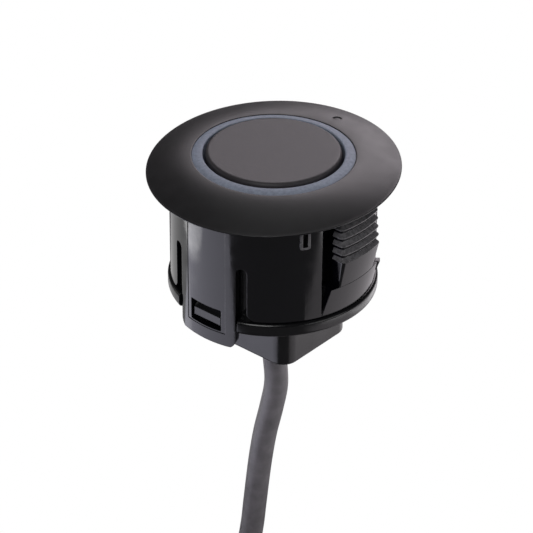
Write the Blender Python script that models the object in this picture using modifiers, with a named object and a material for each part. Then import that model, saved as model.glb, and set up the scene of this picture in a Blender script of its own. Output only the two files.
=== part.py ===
"""Flush-mount ultrasonic parking sensor with a snap-in bezel and a tied lead.

Lengths are metres, +Z points out of the sensing face. The origin is where the sensor's axis
crosses the plane of the bezel flange that sits on the bumper. +Y is the upper side of the
angled bezel (the side with the index dimple). The latch arms are at -Y and +Y and the
serrated grip fingers at -X and +X.
"""
import math

import bmesh
import bpy
from mathutils import Matrix, Vector

# Bezel: flange, sleeve, latch arms and grip fingers, one moulding
SLEEVE_RADIUS = 0.0123
SLEEVE_WALL = 0.00115
SLEEVE_LENGTH = 0.0138
SLEEVE_CORNER = 0.0010
FLANGE_OVERHANG = 0.0027
FLANGE_RADIUS = SLEEVE_RADIUS + FLANGE_OVERHANG
FLANGE_LEAN = math.radians(3.0)
RIM_HEIGHT = 0.00016
RIM_ROUND = 0.00006
DOME_HEIGHT = 0.00178
DOME_POWER = 1.7
BORE_EDGE = 0.00010
WEB_REACH = 0.00148
BORE_RADIUS = SLEEVE_RADIUS - SLEEVE_WALL - WEB_REACH
WEB_DEPTH = 0.0009
SEAT_WIDTH = 0.0011
SEAT_RELIEF = 0.0002
ARM_LENGTH = 0.0181
ARM_HALF_ANGLE = math.radians(19.8)
ARM_CORNER = 0.0010
ARM_SLOT_ANGLE = math.radians(6.4)
ARM_SLOT_TOP = 0.0069
ARM_PANEL_HALF_ANGLE = math.radians(13.6)
ARM_PANEL_DEPTH = 0.00011
ARM_PANEL_FOOT = 0.0002
WINDOW_HALF_WIDTH = 0.00235
WINDOW_TOP = 0.01327
WINDOW_BOTTOM = 0.0161
DIMPLE_RADIUS = 0.00053
DIMPLE_DEPTH = 0.0003
DIMPLE_INSET = 0.0033
DIMPLE_OFFSET = FLANGE_RADIUS - DIMPLE_INSET

# Grip fingers: cantilevers rooted at the sleeve's lower end
FINGER_HALF_WIDTH = 0.00335
FINGER_INSET = 0.00055
FINGER_INNER_FACE = SLEEVE_RADIUS - FINGER_INSET
FINGER_RISE = 0.00125
FINGER_TIP_RADIUS = SLEEVE_RADIUS + FINGER_RISE
FINGER_TIP_GROWTH = 0.00009
FINGER_CORNER = 0.0005
FINGER_TOP = 0.00070
TOOTH_COUNT = 6
TOOTH_PITCH = 0.00106
TOOTH_DEPTH = 0.00036
TOOTH_BACK = 0.00066
FIRST_TIP = 0.00101
RAMP_FOOT_RISE = 0.00078
RAMP_FOOT_RADIUS = SLEEVE_RADIUS + RAMP_FOOT_RISE
FINGER_SLOT_HALF_ANGLE = math.radians(22.3)
FINGER_SLOT_TOP = 0.00036
FINGER_SLOT_BOTTOM = 0.0100
ROOT_PAD_RISE = 0.00083
ROOT_PAD_RADIUS = SLEEVE_RADIUS + ROOT_PAD_RISE
ROOT_PAD_TOP_ANGLE = math.radians(18.6)
ROOT_PAD_FOOT_ANGLE = math.radians(21.9)
VEE_DEPTH = 0.0005

# Small features of the sleeve beside the +X finger
NOTCH_ANGLE = math.radians(57.5)
NOTCH_WIDTH = 0.00142
NOTCH_SLOT_WIDTH = 0.00045
NOTCH_BOTTOM = 0.00415
NOTCH_WALL = 0.00035
NOTCH_RISE = 0.0002
KEY_ANGLE = math.radians(128.0)
KEY_WIDTH = 0.0008
KEY_TOP = 0.0123
KEY_HEIGHT = 0.0012
KEY_RISE = 0.0005

# Transducer: cup, decoupling ring and what the cup holds
RING_GAP = 0.00012
RING_RADIUS = BORE_RADIUS - RING_GAP
RING_WALL = 0.00122
RING_BORE = RING_RADIUS - RING_WALL
CUP_GAP = 0.00035
CUP_RADIUS = RING_BORE - CUP_GAP
CUP_EDGE = 0.00040
CUP_TOP = 0.00232
CUP_FACE = 0.0009
CUP_WALL = 0.0010
CUP_RIM_REACH = 0.00065
CUP_RIM_RADIUS = CUP_RADIUS + CUP_RIM_REACH
CUP_RIM_TOP = 0.0056
CUP_BOTTOM = 0.0066
RING_TOP = 0.00172
RING_CREST = 0.00200
RING_EDGE = 0.00008
RING_BOTTOM = 0.0076
RING_LIP = 0.00215
RING_LIP_BORE = RING_RADIUS - RING_LIP
PIEZO_RADIUS = 0.0036
PIEZO_THICKNESS = 0.0003
GLUE_GAP = 0.00015
PAD_THICKNESS = 0.0015
FILL_RADIUS = CUP_RADIUS - CUP_WALL - 0.0003
FILL_DEPTH = 0.0058
LEAD_HOLE_RADIUS = 0.0015
LEAD_WIRE_RADIUS = 0.0002

# Sensor housing: barrel, bead, latch wedges and rear block, one moulding
CLEARANCE = 0.0003
HOUSING_RADIUS = SLEEVE_RADIUS - SLEEVE_WALL - CLEARANCE
HOUSING_BORE = RING_RADIUS + CLEARANCE
HOUSING_TOP = WEB_DEPTH + 0.00035
HOUSING_EDGE = 0.00015
HOUSING_FLOOR = 0.0139
BEAD_RISE = 0.0003
BEAD_RADIUS = SLEEVE_RADIUS + BEAD_RISE
BEAD_HEIGHT = 0.00178
BEAD_ROUND = 0.00045
BEAD_GAP = 0.00012
WEDGE_HALF_WIDTH = WINDOW_HALF_WIDTH - CLEARANCE
WEDGE_RISE = 0.00095
WEDGE_TOP = 0.0136
WEDGE_CATCH = 0.0156
WEDGE_LAND = 0.0011
GUSSET_BOTTOM = 0.0173
BLOCK_INSET_X = 0.0037
BLOCK_INSET_Y = 0.0048
BLOCK_HALF_X = HOUSING_RADIUS - BLOCK_INSET_X
BLOCK_HALF_Y = HOUSING_RADIUS - BLOCK_INSET_Y
BLOCK_CORNER = 0.0020
BLOCK_WALL = 0.0010
BLOCK_BOTTOM = 0.02238
BLOCK_EDGE = 0.00025

# Electronics on one upright board
BOARD_SIDE_GAP = 0.0005
BOARD_HALF_WIDTH = BLOCK_HALF_X - BLOCK_WALL - BOARD_SIDE_GAP
BOARD_THICKNESS = 0.0010
BOARD_FACE_Y = 0.0001
BOARD_TOP = 0.0082
BOARD_BOTTOM = 0.0184
SOLDER_GAP = 0.0003
CORE_RADIUS = 0.0025
CORE_WAIST = 0.0016
CORE_LENGTH = 0.0030
CORE_FLANGE = 0.0006
CORE_DEPTH_Z = 0.0122
CHIP_SIZE = (0.0050, 0.0014, 0.0036)
CHIP_DEPTH_Z = 0.0127
CAN_RADIUS = 0.0014
CAN_LENGTH = 0.0032
CAN_DEPTH_Z = 0.0162
CAN_OFFSET_X = 0.0032
CERAMIC_SIZE = (0.0020, 0.0012, 0.0012)
CERAMIC_INSET = 0.0016
CERAMIC_DEPTH_Z = 0.0102
RESISTOR_SIZE = (0.0016, 0.0006, 0.0008)
RESISTOR_INSET = 0.0013
RESISTOR_DEPTHS_Z = (0.0121, 0.0139, 0.0130)
PIN_RADIUS = 0.0003
PIN_LENGTH = 0.0009
PIN_DEPTH_Z = 0.0172
PIN_PITCH = 0.0020

# Lead, grommet and rear potting
CORD_DIAMETER = 0.00302
CORD_TOP = 0.0203
CORD_BORE = CORD_DIAMETER / 2 + CLEARANCE
WIRE_RADIUS = 0.00035
WIRE_CIRCLE = 0.0008
POTTING_TOP = 0.0209
POTTING_BOTTOM = 0.0220
GROMMET_NECK = 0.0022
GROMMET_COLLAR = 0.0032
GROMMET_COLLAR_HEIGHT = 0.0003
BOOT_RADIUS = 0.00215
BOOT_TIP_RADIUS = 0.00200
BOOT_BOTTOM = 0.0246

# Free run of the lead, from inside the grommet down to the coil
LEAD_ROUTE = [
    (0.00000, 0.00000, -0.0203),
    (0.00000, 0.00000, -0.0225),
    (0.00020, 0.00018, -0.0260),
    (0.00042, 0.00035, -0.0304),
    (0.00000, 0.00000, -0.0341),
    (-0.00057, -0.00048, -0.0378),
    (-0.00097, -0.00083, -0.0415),
    (-0.00127, -0.00108, -0.0452),
    (-0.00154, -0.00131, -0.0490),
    (-0.00182, -0.00155, -0.0529),
    (-0.00235, -0.00200, -0.0567),
    (-0.00370, -0.00315, -0.0606),
    (-0.00480, -0.00409, -0.0622),
    (-0.00575, -0.00490, -0.0631),
]

# Coil of the spare lead, wound in layers from the outside in and out again
COIL_HEADING = math.radians(40.4)
COIL_CENTRE = (0.00455, -0.02650)
TURN_OUTER = 0.0226
TURN_INNER = 0.0114
TURN_PITCH = 0.00303
COIL_LAYERS = 6
COIL_TOP_TURN = 0.0665
COIL_SLACK = 0.0002
TIE_WIDTH = 0.0030
TIE_THICKNESS = 0.0009
TIE_ANGLE = math.radians(205.0)
TIE_CORNER = 0.0014
TIE_HEAD_LENGTH = 0.0046
TIE_HEAD_WIDTH = 0.0042
TIE_HEAD_RISE = 0.0017

# Plug on the far end, lying beside the coil
TAIL_START = 0.0128
TAIL_END = 0.0192
PLUG_START = 0.0215
PLUG_LENGTH = 0.0150
PLUG_WIDTH = 0.0100
PLUG_HEIGHT = 0.0084
PLUG_CORNER = 0.0018
NOSE_LENGTH = 0.0060
NOSE_WIDTH = 0.0084
NOSE_HEIGHT = 0.0062
LATCH_REACH = 0.0075
LATCH_WIDTH = 0.0036
LATCH_THICKNESS = 0.0009
LATCH_LIFT = 0.0007
SOCKET_COUNT = 3
SOCKET_PITCH = 0.0024
SOCKET_SIZE = 0.0015
SOCKET_DEPTH = 0.0085
TERMINAL_SIZE = 0.0009
TERMINAL_LENGTH = 0.0065
SEAL_HOLE_RADIUS = 0.0027
SEAL_DEPTH = 0.0055
SEAL_RADIUS = 0.0024
SEAL_FLANGE_RADIUS = 0.0032

# Drawing detail
SEGMENTS = 72
SMALL_SEGMENTS = 40
ARC_STEPS = 5
WRAP_STEP = 0.0008
MERGE = 0.000001


def clear_scene():
    """Remove whatever the file opened with."""
    for item in list(bpy.data.objects):
        bpy.data.objects.remove(item, do_unlink=True)


def new_collection(name):
    """Make a collection under the scene."""
    group = bpy.data.collections.new(name)
    bpy.context.scene.collection.children.link(group)
    return group


def finish(name, colour, roughness, metallic=0.0):
    """Make a plain Principled material."""
    material = bpy.data.materials.new(name)
    material.use_nodes = True
    shader = material.node_tree.nodes["Principled BSDF"]
    shader.inputs["Base Color"].default_value = (*colour, 1.0)
    shader.inputs["Roughness"].default_value = roughness
    shader.inputs["Metallic"].default_value = metallic
    return material


def add_object(name, data, material=None, group=None):
    """Put mesh or curve data into the scene as an object."""
    item = bpy.data.objects.new(name, data)
    (group or PARTS).objects.link(item)
    if material is not None:
        data.materials.append(material)
    return item


def smooth(item, angle=32.0):
    """Shade a round piece smooth, with its real edges kept sharp."""
    item.data.shade_smooth()
    item.data.set_sharp_from_angle(angle=math.radians(angle))


def from_bmesh(name, bm, material=None, group=None):
    """Turn a bmesh into an object with its faces pointing out."""
    bmesh.ops.recalc_face_normals(bm, faces=bm.faces[:])
    mesh = bpy.data.meshes.new(name)
    bm.to_mesh(mesh)
    bm.free()
    return add_object(name, mesh, material, group)


def bake(item):
    """Replace an object's mesh with the one its modifiers make."""
    graph = bpy.context.evaluated_depsgraph_get()
    mesh = bpy.data.meshes.new_from_object(item.evaluated_get(graph), depsgraph=graph)
    item.modifiers.clear()
    item.data = mesh
    return item


def as_cutter(item):
    """Hide a guide solid from the finished model."""
    item.hide_render = True
    item.display_type = "WIRE"
    return item


def cut(item, *cutters):
    """Subtract solids from an object."""
    for cutter in cutters:
        modifier = item.modifiers.new("cut " + cutter.name, "BOOLEAN")
        modifier.operation = "DIFFERENCE"
        modifier.object = as_cutter(cutter)


def fuse(item, *others):
    """Join solids to an object."""
    for other in others:
        modifier = item.modifiers.new("join " + other.name, "BOOLEAN")
        modifier.operation = "UNION"
        modifier.object = as_cutter(other)


def arc(centre, radius, start, end, steps=ARC_STEPS):
    """Points on an arc in a profile, with both ends; angles in degrees."""
    points = []
    for i in range(steps + 1):
        angle = math.radians(start + (end - start) * i / steps)
        points.append((centre[0] + radius * math.cos(angle), centre[1] + radius * math.sin(angle)))
    return points


def turned(name, profile, material=None, group=None, segments=SEGMENTS):
    """Turn a closed profile of (radius, height) points round +Z."""
    bm = bmesh.new()
    corners = [bm.verts.new((radius, 0.0, height)) for radius, height in profile]
    on_axis = profile[0][0] == 0.0 and profile[-1][0] == 0.0
    for first, second in zip(corners, corners[1:]):
        bm.edges.new((first, second))
    if not on_axis:
        bm.edges.new((corners[-1], corners[0]))
    mesh = bpy.data.meshes.new(name)
    bm.to_mesh(mesh)
    bm.free()
    item = add_object(name, mesh, material, group)
    screw = item.modifiers.new("turn", "SCREW")
    screw.steps = segments
    screw.render_steps = segments
    screw.use_merge_vertices = True
    screw.merge_threshold = MERGE
    bake(item)
    bm = bmesh.new()
    bm.from_mesh(item.data)
    bmesh.ops.remove_doubles(bm, verts=bm.verts[:], dist=MERGE)
    bmesh.ops.recalc_face_normals(bm, faces=bm.faces[:])
    bm.to_mesh(item.data)
    bm.free()
    smooth(item)
    return item


def rounded_box(name, low, high, corner=0.0, edge=0.0, material=None, group=None):
    """Box from its low and high corners, with rounded upright edges and eased ends."""
    bm = bmesh.new()
    bmesh.ops.create_cube(bm, size=1.0)
    size = [b - a for a, b in zip(low, high)]
    middle = [(a + b) / 2 for a, b in zip(low, high)]
    bmesh.ops.scale(bm, vec=size, verts=bm.verts[:])
    bmesh.ops.translate(bm, vec=middle, verts=bm.verts[:])
    if corner > 0.0:
        upright = [e for e in bm.edges if abs(e.verts[0].co.z - e.verts[1].co.z) > size[2] / 2]
        bmesh.ops.bevel(bm, geom=upright, offset=corner, segments=ARC_STEPS, affect="EDGES", profile=0.5)
    if edge > 0.0:
        ends = [f for f in bm.faces if abs(f.normal.z) > 0.9]
        rims = list({e for f in ends for e in f.edges})
        bmesh.ops.bevel(bm, geom=rims, offset=edge, segments=2, affect="EDGES", profile=0.5)
    item = from_bmesh(name, bm, material, group)
    smooth(item)
    return item


def prism(name, outline, half_width, material=None, group=None):
    """Solid along X with the given (y, z) outline."""
    bm = bmesh.new()
    face = bm.faces.new([bm.verts.new((-half_width, y, z)) for y, z in outline])
    grown = bmesh.ops.extrude_face_region(bm, geom=[face])
    moved = [v for v in grown["geom"] if isinstance(v, bmesh.types.BMVert)]
    bmesh.ops.translate(bm, vec=(2 * half_width, 0.0, 0.0), verts=moved)
    return from_bmesh(name, bm, material, group)


def wrapped(name, outline, inner, outer, angle=0.0):
    """Plate bent round the sleeve's axis, from an outline in (arc length, height).

    Arc length is measured on the sleeve's surface from -Y towards +X. inner and outer are
    radii, and outer may be a function of the height.
    """
    bm = bmesh.new()
    bm.faces.new([bm.verts.new((along, 0.0, height)) for along, height in outline])
    low = min(p[0] for p in outline)
    high = max(p[0] for p in outline)
    count = math.ceil((high - low) / WRAP_STEP) | 1
    for i in range(1, count):
        bmesh.ops.bisect_plane(
            bm,
            geom=bm.verts[:] + bm.edges[:] + bm.faces[:],
            plane_co=(low + (high - low) * i / count, 0.0, 0.0),
            plane_no=(1.0, 0.0, 0.0),
            dist=MERGE / 10,
        )
    front = bm.verts[:]
    grown = bmesh.ops.extrude_face_region(bm, geom=bm.faces[:])
    back = [v for v in grown["geom"] if isinstance(v, bmesh.types.BMVert)]
    for verts, is_outer in ((front, False), (back, True)):
        for vert in verts:
            radius = inner
            if is_outer:
                radius = outer(vert.co.z) if callable(outer) else outer
            turn = vert.co.x / SLEEVE_RADIUS + angle
            vert.co = Vector((radius * math.sin(turn), -radius * math.cos(turn), vert.co.z))
    bmesh.ops.triangulate(bm, faces=bm.faces[:])
    return from_bmesh(name, bm, None, GUIDES)


def tube(name, points, radius, material, resolution=2):
    """Round bar along a smooth curve through the given points, with flat ends."""
    curve = bpy.data.curves.new(name, "CURVE")
    curve.dimensions = "3D"
    curve.bevel_depth = radius
    curve.bevel_resolution = resolution
    curve.resolution_u = 1
    curve.render_resolution_u = 0
    curve.use_fill_caps = True
    spline = curve.splines.new("POLY")
    spline.points.add(len(points) - 1)
    for point, place in zip(spline.points, points):
        point.co = (*place, 1.0)
    return add_object(name, curve, material)


def smooth_route(route, spacing):
    """Read points about a spacing apart from a smooth curve through a route's points."""
    ends = [2 * Vector(route[0]) - Vector(route[1]), 2 * Vector(route[-1]) - Vector(route[-2])]
    knots = [ends[0]] + [Vector(p) for p in route] + [ends[1]]
    points = [knots[1]]
    for before, a, b, after in zip(knots, knots[1:], knots[2:], knots[3:]):
        count = max(1, round((b - a).length / spacing))
        for i in range(1, count + 1):
            u = i / count
            points.append(
                0.5 * (2 * a + (b - before) * u + (2 * before - 5 * a + 4 * b - after) * u ** 2
                       + (3 * a - before - 3 * b + after) * u ** 3)
            )
    return points


def seat_height(y):
    """Height of the leaning seat plane at a distance towards the bezel's upper side."""
    return math.tan(FLANGE_LEAN) * y


def dome_height(radius):
    """Height of the flange's face before it leans, from the bore's lip to the rim."""
    share = (radius - BORE_RADIUS) / (FLANGE_RADIUS - RIM_ROUND - BORE_RADIUS)
    return RIM_HEIGHT + (DOME_HEIGHT - RIM_HEIGHT) * (1.0 - max(0.0, share) ** DOME_POWER)


def lean_flange(item):
    """Lean the flange: its back and rim fully, its face less and less towards the bore."""
    for vert in item.data.vertices:
        radius = math.hypot(vert.co.x, vert.co.y)
        if vert.co.z < -WEB_DEPTH / 2:
            continue
        share = 1.0
        if vert.co.z > RIM_HEIGHT - RIM_ROUND / 2:
            share = (radius - BORE_RADIUS) / (FLANGE_RADIUS - RIM_ROUND - BORE_RADIUS)
        vert.co.z += seat_height(vert.co.y) * min(1.0, max(0.0, share))


def bezel_blank():
    """Turn the flange and a sleeve as long as the latch arms, then lean the flange."""
    inner = SLEEVE_RADIUS - SLEEVE_WALL
    seat_inner = FLANGE_RADIUS - SEAT_WIDTH
    foot = RIM_ROUND
    face_start = BORE_RADIUS + BORE_EDGE
    face_end = FLANGE_RADIUS - RIM_ROUND
    steps = 9
    profile = [(BORE_RADIUS, DOME_HEIGHT - BORE_EDGE)]
    for i in range(steps + 1):
        radius = face_start + (face_end - face_start) * i / steps
        profile.append((radius, dome_height(radius)))
    profile += [
        (FLANGE_RADIUS, RIM_HEIGHT - RIM_ROUND),
        (FLANGE_RADIUS, 0.8 * RIM_ROUND),
        (FLANGE_RADIUS - RIM_ROUND / 2, 0.0),
        (seat_inner, 0.0),
        (seat_inner - SEAT_RELIEF, SEAT_RELIEF),
        (SLEEVE_RADIUS + SEAT_RELIEF, SEAT_RELIEF),
        (SLEEVE_RADIUS, 0.0),
        (SLEEVE_RADIUS, -ARM_LENGTH + foot),
        (SLEEVE_RADIUS - foot, -ARM_LENGTH),
        (inner + foot, -ARM_LENGTH),
        (inner, -ARM_LENGTH + foot),
        (inner, -WEB_DEPTH - foot),
        (inner - foot, -WEB_DEPTH),
        (BORE_RADIUS, -WEB_DEPTH),
    ]
    item = turned("bezel", profile, BLACK_SATIN)
    lean_flange(item)
    return item


def sleeve_relief(name, angle):
    """Cutter for one side: two arm slots and the band between the sleeve's end and the arms'."""
    half_turn = math.pi * SLEEVE_RADIUS
    arm = ARM_HALF_ANGLE * SLEEVE_RADIUS
    slot = ARM_SLOT_ANGLE * SLEEVE_RADIUS
    end = -ARM_LENGTH - 0.001
    tip_centre = (arm - ARM_CORNER, -ARM_LENGTH + ARM_CORNER)
    top_centre = (arm + slot / 2, -ARM_SLOT_TOP - slot / 2)
    foot_centre = (arm + slot + SLEEVE_CORNER, -SLEEVE_LENGTH + SLEEVE_CORNER)
    half = [(arm - ARM_CORNER, end)]
    half += arc(tip_centre, ARM_CORNER, -90, 0)
    half += arc(top_centre, slot / 2, 180, 0, 2 * ARC_STEPS)
    half += arc(foot_centre, SLEEVE_CORNER, 180, 270)
    other = [(half_turn - along, height) for along, height in reversed(half)]
    inner = SLEEVE_RADIUS - SLEEVE_WALL - CLEARANCE
    return wrapped(name, half + other, inner, SLEEVE_RADIUS + 0.002, angle)


def box_outline(half_width, top, bottom, middle=0.0):
    """Plain outline for a wrapped plate."""
    return [
        (middle - half_width, bottom),
        (middle + half_width, bottom),
        (middle + half_width, top),
        (middle - half_width, top),
    ]


def arm_cutters(side, angle):
    """Window and shallow face panel of one latch arm."""
    inner = SLEEVE_RADIUS - SLEEVE_WALL - CLEARANCE
    outer = SLEEVE_RADIUS + 0.002
    window = box_outline(WINDOW_HALF_WIDTH, -WINDOW_TOP, -WINDOW_BOTTOM)
    toward = -SLEEVE_RADIUS * math.cos(angle)
    panel_top = seat_height(toward) - 0.0001
    panel_bottom = -WINDOW_BOTTOM - ARM_PANEL_FOOT
    panel = box_outline(ARM_PANEL_HALF_ANGLE * SLEEVE_RADIUS, panel_top, panel_bottom)
    return [
        wrapped("window " + side, window, inner, outer, angle),
        wrapped("panel " + side, panel, SLEEVE_RADIUS - ARM_PANEL_DEPTH, outer, angle),
    ]


def pad_radius(height):
    """Outer radius of a finger's root pad, tapering to the sleeve at its lower end."""
    share = (-height - FINGER_SLOT_BOTTOM) / (SLEEVE_LENGTH - FINGER_SLOT_BOTTOM)
    return ROOT_PAD_RADIUS + (SLEEVE_RADIUS + 0.00002 - ROOT_PAD_RADIUS) * share


def root_pad(name, angle):
    """Raised root that carries a finger, wider at its foot."""
    top = ROOT_PAD_TOP_ANGLE * SLEEVE_RADIUS
    foot = ROOT_PAD_FOOT_ANGLE * SLEEVE_RADIUS
    lower = -SLEEVE_LENGTH + 0.0001
    upper = -FINGER_SLOT_BOTTOM + 0.00005
    outline = [(-foot, lower), (foot, lower), (top, upper), (-top, upper)]
    return wrapped(name, outline, SLEEVE_RADIUS - 0.0008, pad_radius, angle)


def vee_groove(name, angle, side):
    """Blind groove between the sleeve and a root pad, running out to a point."""
    edge = FINGER_SLOT_HALF_ANGLE * SLEEVE_RADIUS - 0.00004
    top = ROOT_PAD_TOP_ANGLE * SLEEVE_RADIUS
    upper = -FINGER_SLOT_BOTTOM + 0.0002
    outline = [(side * edge, upper), (side * (top - 0.0003), upper), (side * edge, -SLEEVE_LENGTH + 0.0004)]
    return wrapped(name, outline, SLEEVE_RADIUS - VEE_DEPTH, SLEEVE_RADIUS + 0.002, angle)


def finger_section(radius, half_width, corner, height):
    """Plan outline of a grip finger at one height: a bowed face with rounded corners."""
    reach = math.sqrt((radius - corner) ** 2 - (half_width - corner) ** 2)
    lean = math.atan2(half_width - corner, reach)
    points = [(FINGER_INNER_FACE, -half_width)]
    start = -math.pi / 2
    for i in range(4):
        turn = start + (-lean - start) * i / 3
        points.append((reach + corner * math.cos(turn), corner - half_width + corner * math.sin(turn)))
    for i in range(1, 4):
        turn = -lean + 2 * lean * i / 4
        points.append((radius * math.cos(turn), radius * math.sin(turn)))
    points += [(x, -y) for x, y in reversed(points[:5])]
    return [(x, y, height) for x, y in points]


def grip_finger(name, turn):
    """Serrated cantilever, lofted through its tooth tips and the roots between them."""
    narrow = FINGER_HALF_WIDTH - 0.8 * TOOTH_DEPTH
    fine = FINGER_CORNER / 2
    levels = [(FINGER_TIP_RADIUS - 2 * TOOTH_DEPTH, narrow, fine, -FINGER_TOP)]
    for i in range(TOOTH_COUNT):
        tip = FINGER_TIP_RADIUS + (i - 1) * FINGER_TIP_GROWTH
        height = -FIRST_TIP - i * TOOTH_PITCH
        levels.append((tip, FINGER_HALF_WIDTH, FINGER_CORNER, height))
        levels.append((tip - TOOTH_DEPTH, narrow, fine, height - TOOTH_BACK))
    levels.append((RAMP_FOOT_RADIUS, narrow, fine, -FINGER_SLOT_BOTTOM - 0.0001))
    levels.append((RAMP_FOOT_RADIUS - 0.0004, narrow, fine, -FINGER_SLOT_BOTTOM - 0.0007))
    bm = bmesh.new()
    rings = [[bm.verts.new(p) for p in finger_section(*level)] for level in levels]
    for upper, lower in zip(rings, rings[1:]):
        for i in range(len(upper)):
            j = (i + 1) % len(upper)
            bm.faces.new((upper[i], upper[j], lower[j], lower[i]))
    bm.faces.new(rings[0])
    bm.faces.new(rings[-1])
    bmesh.ops.rotate(bm, verts=bm.verts[:], cent=(0, 0, 0), matrix=Matrix.Rotation(turn, 3, "Z"))
    return from_bmesh(name, bm, None, GUIDES)


def gate_notch():
    """Small U-shaped rib under the flange beside the +X finger, and its slot."""
    outer = SLEEVE_RADIUS + NOTCH_RISE
    top = -NOTCH_BOTTOM / 8
    rib = box_outline(NOTCH_WIDTH / 2, top, -NOTCH_BOTTOM)
    slot = box_outline(NOTCH_SLOT_WIDTH / 2, top - 0.0002, -NOTCH_BOTTOM + NOTCH_WALL)
    return (
        wrapped("notch rib", rib, SLEEVE_RADIUS - 0.0004, outer, NOTCH_ANGLE),
        wrapped("notch slot", slot, SLEEVE_RADIUS - 0.0007, outer + 0.001, NOTCH_ANGLE),
    )


def index_key():
    """Small wedge-shaped key low on the sleeve."""
    def rise(height):
        share = (-height - KEY_TOP) / KEY_HEIGHT
        return SLEEVE_RADIUS + KEY_RISE * (1.0 - 0.8 * share)
    outline = box_outline(KEY_WIDTH / 2, -KEY_TOP, -KEY_TOP - KEY_HEIGHT)
    return wrapped("index key", outline, SLEEVE_RADIUS - 0.0005, rise, KEY_ANGLE)


def dimple_cutter():
    """Ball that leaves the index dimple in the flange's upper side."""
    ball = bmesh.new()
    radius = (DIMPLE_RADIUS ** 2 + DIMPLE_DEPTH ** 2) / (2 * DIMPLE_DEPTH)
    bmesh.ops.create_uvsphere(ball, u_segments=16, v_segments=9, radius=radius)
    share = (DIMPLE_OFFSET - BORE_RADIUS) / (FLANGE_RADIUS - RIM_ROUND - BORE_RADIUS)
    surface = dome_height(DIMPLE_OFFSET) + share * seat_height(DIMPLE_OFFSET)
    centre = (0.0, DIMPLE_OFFSET, surface - DIMPLE_DEPTH + radius)
    bmesh.ops.translate(ball, vec=centre, verts=ball.verts[:])
    return from_bmesh("dimple", ball, None, GUIDES)


def make_bezel():
    """Build the flange, sleeve, latch arms and grip fingers as one moulding."""
    bezel = bezel_blank()
    for side, angle in (("+x", 0.0), ("-x", math.pi)):
        cut(bezel, sleeve_relief("relief " + side, angle))
        facing = angle + math.pi / 2
        inner = SLEEVE_RADIUS - SLEEVE_WALL - CLEARANCE
        slot = box_outline(FINGER_SLOT_HALF_ANGLE * SLEEVE_RADIUS, -FINGER_SLOT_TOP, -FINGER_SLOT_BOTTOM)
        cut(bezel, wrapped("finger slot " + side, slot, inner, SLEEVE_RADIUS + 0.002, facing))
        for hand in (-1, 1):
            cut(bezel, vee_groove("vee %s %d" % (side, hand), facing, hand))
        fuse(bezel, root_pad("pad " + side, facing))
        fuse(bezel, grip_finger("finger " + side, angle))
    for side, angle in (("-y", 0.0), ("+y", math.pi)):
        cut(bezel, *arm_cutters(side, angle))
    rib, slot = gate_notch()
    fuse(bezel, rib, index_key())
    cut(bezel, slot, dimple_cutter())
    bake(bezel)
    smooth(bezel)


def make_transducer():
    """Build the cup, its decoupling ring and the pieces inside the cup."""
    inner = CUP_RADIUS - CUP_WALL
    ceiling = CUP_TOP - CUP_FACE
    cup = [(0.0, CUP_TOP)]
    cup += arc((CUP_RADIUS - CUP_EDGE, CUP_TOP - CUP_EDGE), CUP_EDGE, 90, 0, 4)
    cup += [
        (CUP_RADIUS, -CUP_RIM_TOP),
        (CUP_RIM_RADIUS, -CUP_RIM_TOP),
        (CUP_RIM_RADIUS, -CUP_BOTTOM),
        (inner, -CUP_BOTTOM),
    ]
    cup += arc((inner - CUP_EDGE, ceiling - CUP_EDGE), CUP_EDGE, 0, 90, 3)
    cup += [(0.0, ceiling)]
    turned("transducer_cup", cup, CUP_PAINT)
    groove = CUP_RIM_RADIUS + CLEARANCE
    ring = [
        (RING_BORE, RING_CREST - RING_EDGE),
        (RING_BORE + RING_EDGE, RING_CREST),
        ((RING_BORE + RING_RADIUS) / 2, (RING_CREST + RING_TOP) / 2 + RING_EDGE / 2),
        (RING_RADIUS - RING_EDGE, RING_TOP),
        (RING_RADIUS, RING_TOP - RING_EDGE),
        (RING_RADIUS, -RING_BOTTOM),
        (RING_LIP_BORE, -RING_BOTTOM),
        (RING_LIP_BORE, -CUP_BOTTOM - CLEARANCE),
        (groove, -CUP_BOTTOM - CLEARANCE),
        (groove, -CUP_RIM_TOP + CLEARANCE),
        (RING_BORE, -CUP_RIM_TOP + CLEARANCE),
    ]
    turned("decoupling_ring", ring, SILICONE)
    top = ceiling - GLUE_GAP
    plain_disc("piezo_disc", PIEZO_RADIUS, top, top - PIEZO_THICKNESS, CERAMIC)
    top -= PIEZO_THICKNESS + GLUE_GAP
    washer("damping_pad", FILL_RADIUS, top, top - PAD_THICKNESS, FOAM)
    washer("cup_backfill", FILL_RADIUS, top - PAD_THICKNESS - CLEARANCE, -FILL_DEPTH, POTTING)
    make_piezo_leads(top)


def plain_disc(name, radius, top, bottom, material):
    """Solid disc on the axis."""
    profile = [(0.0, top), (radius, top), (radius, bottom), (0.0, bottom)]
    turned(name, profile, material, segments=SMALL_SEGMENTS)


def washer(name, radius, top, bottom, material):
    """Disc with the hole that the piezo wires pass through."""
    hole = LEAD_HOLE_RADIUS
    profile = [(hole, top), (radius, top), (radius, bottom), (hole, bottom)]
    turned(name, profile, material, segments=SMALL_SEGMENTS)


def make_piezo_leads(disc_back):
    """Two fine wires from the piezo disc to the upper end of the board."""
    start = disc_back + GLUE_GAP - LEAD_WIRE_RADIUS
    near_board = BOARD_FACE_Y - SOLDER_GAP - LEAD_WIRE_RADIUS
    for side, letter in ((-1, "a"), (1, "b")):
        route = [
            (side * 0.0007, 0.0, start),
            (side * 0.0007, 0.0, -FILL_DEPTH / 2),
            (side * 0.0008, near_board / 2, -FILL_DEPTH),
            (side * 0.0016, near_board, -BOARD_TOP),
            (side * 0.0016, near_board, -BOARD_TOP - 0.0014),
        ]
        tube("piezo_lead_" + letter, smooth_route(route, 0.0010), LEAD_WIRE_RADIUS, COPPER, 1)


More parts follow.
